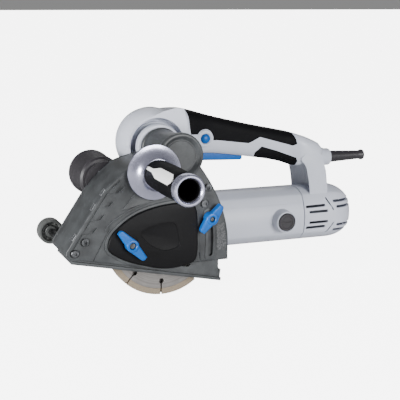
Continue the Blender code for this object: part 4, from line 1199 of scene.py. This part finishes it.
def build_spindle():
    for place in DISC_YS:
        disc_look(place)
    flange = turned("flange_look", "Y", (0, 0, 0), [
        (6.3, -88), (13, -88), (14, -87.6), (16, -86), (21, -85), (22, -84.2), (22, -80.5),
        (6.3, -80.5),
    ], ring=True)
    pin = cylinder("pin", "Z", (17.5 * MM, 0, 0), 2.1 * MM, 4 * MM, 24)
    pins = round_axis("pins", "Y", (0, -84 * MM, 0), pin, 2, finish="steel")
    placed(cut(flange, pins), "spindle", "steel", ["outer_flange"])
    nut = turned("nut_look", "Y", (0, 0, 0), [
        (6.3, -100.3), (9.2, -100.3), (11, -99.2), (11, -89.8), (9.2, -88.7), (6.3, -88.7),
    ], ring=True)
    flats = cylinder("flats", "Y", (0, -94.5 * MM, 0), 11 * MM, 8 * MM, 6)
    placed(kept(nut, flats), "spindle", "dark_zinc", ["spindle_nut"])


# ---------------------------------------------------------------- motor


def barrel_loop(x, radius):
    """One section of the motor's barrel at x."""
    steps = [2 * pi * i / 120 for i in range(120)]
    return [
        Vector((x, -barrel_reach(a, radius) * sin(a),
                barrel_reach(a, radius) * cos(a))) for a in steps
    ]


def barrel_solid(name, stations):
    """A solid barrel from (x, radius) stations."""
    return bridged(name, [barrel_loop(x, radius) for x, radius in stations])


def groove(name, points, width, inner):
    """Cutter for a shallow line on both sides: a strip across the tool, cleared inside."""
    return cut(plate(name, [stroke(points, width)], -60 * MM, 60 * MM), inner)


def build_motor():
    front, rear = BARREL_FRONT_X, SEAM_X
    radius = BARREL_RADIUS
    body = barrel_solid("barrel", [
        (front, radius - 0.8 * MM), (front + 0.8 * MM, radius), (rear - 0.5 * MM, radius),
        (rear, radius - 0.5 * MM),
    ])
    bosses = [
        turned("boss", "Y", (x, 0, 0), [
            (0, side * 34), (16, side * 34), (15.4, side * 40), (15, side * (face - 1.4)),
            (14.6, side * (face - 0.4)), (14, side * face), (0, side * face),
        ])
        for side, x, face in BRUSH_BOSSES
    ]
    body = join(body, *bosses)
    skin = barrel_solid("skin", [(front - MM, radius - 0.7 * MM), (rear + MM, radius - 0.7 * MM)])
    rise = 21.4 * MM
    line = groove("line", [(front - 2 * MM, rise), (rear + 2 * MM, rise)], 0.9 * MM, skin)
    inside = barrel_solid("inside",
                          [(front - 5 * MM, radius - 3 * MM), (rear + 5 * MM, radius - 3 * MM)])
    wells = [
        hole(x, 0, 13.3 * MM, side * (face + 2) * MM, 5 * MM)
        for side, x, face in BRUSH_BOSSES
    ]
    body = cut(body, line, inside, hole(BRUSH_X, 0, 5.5 * MM, 0, 60 * MM), *wells)
    placed(body, "chassis", "silver", ["motor_housing"])
    for side, x, face in BRUSH_BOSSES:
        cap = turned("cap", "Y", (x, 0, 0), [
            (0, side * (face - 0.6)), (8.6, side * (face - 0.6)), (9.2, side * face),
            (11.4, side * face),
            (12.4, side * (face - 0.8)), (12.4, side * (face - 2.7)), (0, side * (face - 2.7)),
        ])
        slit = box("slit", (x - 7 * MM, side * face * MM - 2 * MM, -0.9 * MM),
                   (x + 7 * MM, side * face * MM + 2 * MM, 0.9 * MM))
        place = "near" if side < 0 else "far"
        placed(cut(cap, slit), "chassis", "dust", [f"brush_cap_{place}"])


# ---------------------------------------------------------------- D-handle and tail

VENTS = (
    ((231, 15.2), (262, 15.9)), ((236, 7.6), (266, 7.8)), ((236, -7.4), (266, -7.2)),
    ((231, -14.6), (262, -14.2)),
    ((275, 20.5), (313, 20.5)), ((280, 12.5), (315, 12.5)), ((280, -13.5), (315, -13.5)),
    ((275, -21), (313, -21)),
)
TAIL_LINES = (((264, 26), (275, 8.5)), ((275, -9.5), (265, -24)))
DOME_CENTRE = (12, 114)


def width_at(x):
    """Half width of the D-handle at x: a broad dome, a slim grip and a broader leg."""
    front = DOME_HALF - 0.7 * MM
    if x < 48 * MM:
        return front
    if x < 96 * MM:
        t = (x - 48 * MM) / (48 * MM)
        return front + (GRIP_HALF - front) * t * t * (3 - 2 * t)
    if x < 205 * MM:
        return GRIP_HALF
    t = min((x - 205 * MM) / (30 * MM), 1)
    return GRIP_HALF + (LEG_HALF - GRIP_HALF) * t * t * (3 - 2 * t)


def bar(name, inset=0.0):
    """The D-handle's upper bar, or the same shape shrunk by a wall thickness."""
    body = plate(name, [handle_outline()], -DOME_HALF, DOME_HALF, HANDLE_EDGE - inset, inset,
                 rounds=6)
    bm = bmesh.new()
    bm.from_mesh(body.data)
    cuts = [48 + 6 * i for i in range(9)] + [205 + 6 * i for i in range(6)]
    for x in cuts:
        everything = bm.verts[:] + bm.edges[:] + bm.faces[:]
        bmesh.ops.bisect_plane(bm, geom=everything, plane_co=(x * MM, 0, 0), plane_no=(1, 0, 0))
    bm.to_mesh(body.data)
    bm.free()
    full = DOME_HALF - inset
    for vertex in body.data.vertices:
        vertex.co.y *= (width_at(vertex.co.x) - inset) / full
    return body


def dome():
    """The drum at the handle's front end, softly rounded towards the far side."""
    profile = (
        (0, -28), (34, -28), (38.8, -27.9), (39.6, -27.2), (43.6, -19), (46, -11), (47, -2),
        (46.6, 8),
        (44.6, 17), (40, 24), (34, 27.6), (28, 28), (0, 28),
    )
    x, z = DOME_CENTRE
    return turned("dome", "Y", (x * MM, 0, z * MM), profile)


def cheek():
    """The dome's flat near side: its crease sweeps from the round to the rubber's front end."""
    near = mm(
        (-27.4, 114), (-26, 127), (-18.5, 140), (0, 150), (20, 158), (38, 162), (49, 161),
        (54, 142),
        (56, 118), (50, 96), (30, 85), (6, 84), (-14, 91), (-24, 101),
    )
    far = mm(
        (-34, 114), (-32, 130), (-22, 145), (-2, 156), (20, 158), (38, 158), (48, 157), (52, 140),
        (54, 118), (48, 98), (30, 89), (6, 88), (-12, 93), (-28, 101),
    )
    depths = ((near, -28.4 * MM), (far, -6 * MM))
    return bridged("cheek", [[Vector((x, y, z)) for x, z in loop] for loop, y in depths])


def leg():
    """The D-handle's rear leg, hollowed in front, its long edges crisp."""
    loop = mm((226, 30), (226, 84), (240, 98), (258, 88), (266, 64), (268.6, 44), (269.4, 30))
    body = plate("leg", [loop], -LEG_HALF, LEG_HALF, edge=1.2 * MM)
    hollow = turned("hollow", "Z", (199 * MM, 0, 0), [
        (0, 20), (51.4, 20), (50.6, 37), (49.3, 50), (46.2, 68), (43.5, 75), (40, 80), (0, 92),
    ])
    return cut(body, hollow)


def tail(name, inset=0.0):
    """Rounded rear of the motor housing."""
    radius, end = BARREL_RADIUS - inset, TAIL_END_X - 3.5 * MM - inset
    start = SEAM_X + 0.9 * MM if inset == 0 else SEAM_X - 5 * MM
    round_from, power = 274 * MM, 2.3
    stations = [(start, radius - (0.5 * MM if inset == 0 else 0)), (start + 0.5 * MM, radius)]
    for i in range(15):
        t = 1 - (1 - i / 14) ** 1.8
        x = round_from + (end - round_from) * min(t, 0.9995)
        stations.append((x, radius * (1 - min(t, 0.9995) ** power) ** (1 / power)))
    return barrel_solid(name, stations)


def nozzle():
    """The collar that the cord's sleeve comes out of."""
    return turned("nozzle", "X", (0, 0, SLEEVE_Z), [
        (0, 250), (13.5, 250), (13.8, 266), (13.4, 274), (12.2, 277), (12.2, 282), (11.4, 283.6),
        (8, 283.6), (8, 281), (0, 281),
    ])


def rubber_zone(spare=0.0):
    """Side view of the soft grip, wider than the handle at the top."""
    button = arc(BUTTON, 13 * MM - spare, 150, -15, 18)
    low = mm((60, 125)) + button + mm((99.7, 114.9), (148, 108.2), (156, 111.5), (165, 116),
                                      (215, 101.6))
    loop = mm((50, 175), (56, 150)) + low + mm((220.5, 104), (219, 112), (215, 121), (217, 175))
    return grown(loop, spare)


def under_zone(spare=0.0):
    """Side view of the soft inset under the grip's rear half."""
    loop = mm((168, 102.5), (158, 94.6), (157, 70), (214, 55), (220, 66), (221.5, 80),
              (219.5, 84.6), (190, 95.6))
    return grown(loop, spare)


def zones(spare=0.0):
    loops = (rubber_zone(spare), under_zone(spare))
    return [plate("zone", [loop], -60 * MM, 60 * MM) for loop in loops]


def half_space(side):
    """Everything on the other side of the parting plane, to cut away."""
    low, high = (-GAP / 2, 90 * MM) if side < 0 else (-90 * MM, GAP / 2)
    return box("other_side", (-90 * MM, low, -90 * MM), (400 * MM, high, 200 * MM))


def vent_cutters():
    shapes = [rounded(stroke(mm(*line), 3.8 * MM), 1.5 * MM) for line in VENTS]
    shapes += [rounded(stroke(mm(*line), 2 * MM), 0.8 * MM) for line in TAIL_LINES]
    sides = ((-60 * MM, -10 * MM), (10 * MM, 60 * MM))
    return together("vents",
                    [plate("vent", [shape], low, high) for shape in shapes for low, high in sides])


def copy_of(obj, name):
    return linked(name, obj.data.copy())


def handle_solid():
    """Both halves of the handle before they are parted, hollow, with beds for the rubber."""
    outside = bar("handle")
    room = cut(bar("inside", SHELL_WALL + RUBBER),
               hole(TRUNNION_X, TRUNNION_Z, 46 * MM, 0, 40 * MM, 64))
    beds = [cut(zone, bar("under_rubber", RUBBER + 0.15 * MM)) for zone in zones(0.15 * MM)]
    pads = [cut(kept(zone, copy_of(outside, "pads")), bar("under_pad", RUBBER)) for zone in zones()]
    recess = turned("recess", "Y", (TRUNNION_X, 0, TRUNNION_Z), [
        (0, -35), (38.4, -35), (37.8, -27.6), (37.4, -26.8), (37, -11), (31.2, -10), (30.8, -15),
        (0, -15),
    ])
    ring = turned("ring", "Y", (BUTTON[0], 0, BUTTON[1]), [
        (0, -12), (11.9, -12), (11.9, -22.6), (11.4, -23.6), (10.4, -24.2), (8.2, -24.2),
        (7.6, -23.4), (0, -23.4),
    ])
    body = join(outside, dome(), cheek(), leg(), tail("tail"), nozzle(), ring)
    trigger_gap = box("trigger_gap", (74 * MM, -9.6 * MM, 75 * MM), (146 * MM, 9.6 * MM, 104 * MM))
    body = cut(
        body, *beds, room, tail("tail_inside", SHELL_WALL), trigger_gap, recess,
        hole(*BUTTON, 7 * MM, -19 * MM, 12 * MM), vent_cutters(),
        cylinder("sleeve_room", "X", (280 * MM, 0, SLEEVE_Z), 7 * MM, 14 * MM),
    )
    inner = BARREL_RADIUS - 1.5 * MM
    bulkhead = barrel_solid("bulkhead", [(271.5 * MM, inner), (273 * MM, inner)])
    return join(body, bulkhead), pads


def build_handle():
    body, pads = handle_solid()
    for place, side in (("near", -1), ("far", 1)):
        shell = cut(copy_of(body, f"shell_{place}"), half_space(side))
        halves = [painted(cut(copy_of(pad, "half"), half_space(side)), "rubber") for pad in pads]
        if side > 0:
            shell = cut(shell, *[hole(x, z, 2.8 * MM, 20 * MM, 30 * MM) for x, z in HANDLE_SCREWS])
        placed(shell, "chassis", "silver", [f"handle_shell_{place}"], crease=28)
        placed(together(f"pad_{place}", halves), "chassis", None, [f"grip_pad_{place}"],
               crease=28)
    for spare in (body, *pads):
        bpy.data.objects.remove(spare)
    loop = mm((76, 88), (79, 86), (110, 84.6), (141, 83.6), (143.4, 85), (143.4, 91), (139, 98),
              (79, 103), (76, 101))
    lever = plate("trigger_look", [loop], -9 * MM, 9 * MM, edge=1.6 * MM)
    placed(lever, "trigger", "blue", ["trigger"])
    button = turned("button_look", "Y", (BUTTON[0], 0, BUTTON[1]), [
        (0, -27.2), (2.4, -27), (4.4, -26.4), (5.8, -25.4), (6.5, -24), (6.5, -12), (0, -12),
    ])
    placed(button, "lock_button", "blue", ["lock_button"])
    sleeve = turned("sleeve_look", "X", (0, 0, SLEEVE_Z), [
        (3.8, 268), (6.6, 268), (6.6, 284.2), (8.4, 284.4), (8.2, 290), (6.2, 332), (6.6, 335.6),
        (7.4, 337), (7.6, 339),
        (7, 340.6), (6, 341), (4.2, 341), (3.8, 340),
    ], ring=True)
    ribs = beads("sleeve_ribs", "X", (291 * MM, 0, SLEEVE_Z), 10, 4.2, 8.1, 0.35, 0.2, "dust")
    placed(together("cord_sleeve_look", [painted(sleeve, "dust"), ribs]), "chassis", None,
           ["cord_sleeve"])


# ---------------------------------------------------------------- gear head and insides


def build_gear_head():
    head = turned("head", "Y", (0, 0, 0), [
        (0, 32), (33, 32), (35.4, 30.8), (36, 28.6), (36, -36.4), (35, -38.7), (32, -38.7),
        (32, 24), (0, 24),
    ])
    neck = turned("neck", "X", (0, 0, 0), [
        (0, 20), (37, 20), (37, 52), (38.6, 55), (41, 56.7), (41.7, 57.4), (41.7, 61.7), (0, 61.7),
    ])
    fin = box("fin", (36 * MM, -1.2 * MM, 20 * MM), (38.6 * MM, 1.2 * MM, 50 * MM))
    fins = round_axis("fins", "X", (0, 0, 0), softened(fin, 0.5 * MM), 16, finish="casting")
    screw_places = [(cos(a), sin(a)) for a in (radians(45 + 90 * i) for i in range(4))]
    drills = [
        cylinder("drill", "X", (x * MM, 35 * MM * c, 35 * MM * s), radius * MM, half * MM, 24)
        for c, s in screw_places for x, radius, half in ((60, 2.8, 8), (46.7, 5, 10))
    ]
    body = cut(
        join(head, neck),
        cylinder("bore", "X", (37 * MM, 0, 0), 28 * MM, 26 * MM),
        hole(-16 * MM, 14 * MM, 5.3 * MM, 30 * MM, 8 * MM),
        *drills,
    )
    placed(together("gear_head_look", [painted(body, "casting"), fins]), "chassis", None,
           ["gear_head"])


CAD_FINISHES = {
    "casting": ("bearing_flange", "bearing_shield"),
    "black": ("rear_bearing_bracket", "cooling_fan", "trigger_switch", "spindle_lock_button"),
    "lamination": ("field_stator", "armature"),
    "copper": ("commutator",),
    "carbon": ("carbon_brush_near", "carbon_brush_far"),
    "steel": (
        "spindle_bearing_main", "rotor_bearing_front", "rotor_bearing_rear", "rotor_shaft",
        "drive_pinion",
        "drive_gear", "spindle_shaft", "inner_flange", "disc_spacer",
    ),
    "zinc": tuple([f"gear_head_screw_{i}" for i in (1, 2, 3,
                                                    4)] + [f"handle_screw_{i}" for i in (1, 2, 3)]),
}


def finish_cad_nodes():
    """Inner pieces keep their own shapes and take the finishes made here."""
    for finish, names in CAD_FINISHES.items():
        for name in names:
            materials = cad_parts[name].data.materials
            materials.clear()
            materials.append(FINISHES[finish])


# ---------------------------------------------------------------- studio

AZIMUTH, ELEVATION, ROLL = radians(-22.02), radians(12.21), radians(0.56)
LENS, DISTANCE = 91.5, 1413 * MM
AIM = Vector((84.4, 0, 28.5)) * MM


def build_camera():
    back = Vector((sin(AZIMUTH) * cos(ELEVATION), -cos(AZIMUTH) * cos(ELEVATION), sin(ELEVATION)))
    right = Vector((0, 0, 1)).cross(back).normalized()
    up = back.cross(right)
    tilted = cos(ROLL) * right + sin(ROLL) * up
    risen = cos(ROLL) * up - sin(ROLL) * right
    data = bpy.data.cameras.new("camera")
    data.lens = LENS
    data.sensor_width = 36
    data.clip_start = 0.05
    camera = linked("camera", data)
    turn = Matrix((tilted, risen, back)).transposed().to_4x4()
    camera.matrix_world = Matrix.Translation(ORIGIN + AIM + back * DISTANCE) @ turn
    bpy.context.scene.camera = camera


def area_light(name, place, aim, size, power):
    data = bpy.data.lights.new(name, "AREA")
    data.shape = "RECTANGLE"
    data.size, data.size_y = size
    data.energy = power
    lamp = linked(name, data)
    turn = (Vector(place) - Vector(aim)).to_track_quat("Z", "Y").to_matrix().to_4x4()
    lamp.matrix_world = Matrix.Translation(place) @ turn


def build_world():
    world = bpy.data.worlds.new("studio")
    bpy.context.scene.world = world
    world.use_nodes = True
    background = world.node_tree.nodes["Background"]
    background.inputs["Color"].default_value = (1, 1, 1, 1)
    background.inputs["Strength"].default_value = 0.26


def build_floor():
    """Pale paper that looks lit from below where the camera sees it."""
    paper, tree, _ = blank_material("studio_paper")
    seen = node(tree, "ShaderNodeLightPath").outputs["Is Camera Ray"]
    glow = node(tree, "ShaderNodeMath", {0: seen, 1: 6.0}, operation="MULTIPLY").outputs[0]
    settings = {"Base Color": linear("#E8E8E8"), "Roughness": 0.8, "Emission Color": (1, 1, 1, 1),
                "Emission Strength": glow}
    shader = node(tree, "ShaderNodeBsdfPrincipled", settings)
    node(tree, "ShaderNodeOutputMaterial", {"Surface": shader.outputs[0]})
    bm = bmesh.new()
    bmesh.ops.create_grid(bm, x_segments=1, y_segments=1, size=12)
    ground = from_bmesh("floor", bm)
    ground.data.materials.append(paper)


def build_studio():
    build_world()
    build_floor()
    area_light("key", (0.5, -2.1, 0.6), (0, 0, 0.1), (0.9, 0.8), 56)
    area_light("side", (-2.0, -0.6, 0.35), (0, 0, 0.1), (0.7, 0.6), 72)
    area_light("back", (0.6, 1.6, 1.2), (0, 0, 0.1), (1.2, 0.5), 4)


build_guard()
build_trunnion()
build_dust_adapter()
build_front_handle()
build_cover()
build_roller()
build_shoe()
build_spindle()
build_motor()
build_handle()
build_gear_head()
finish_cad_nodes()
build_camera()
build_studio()
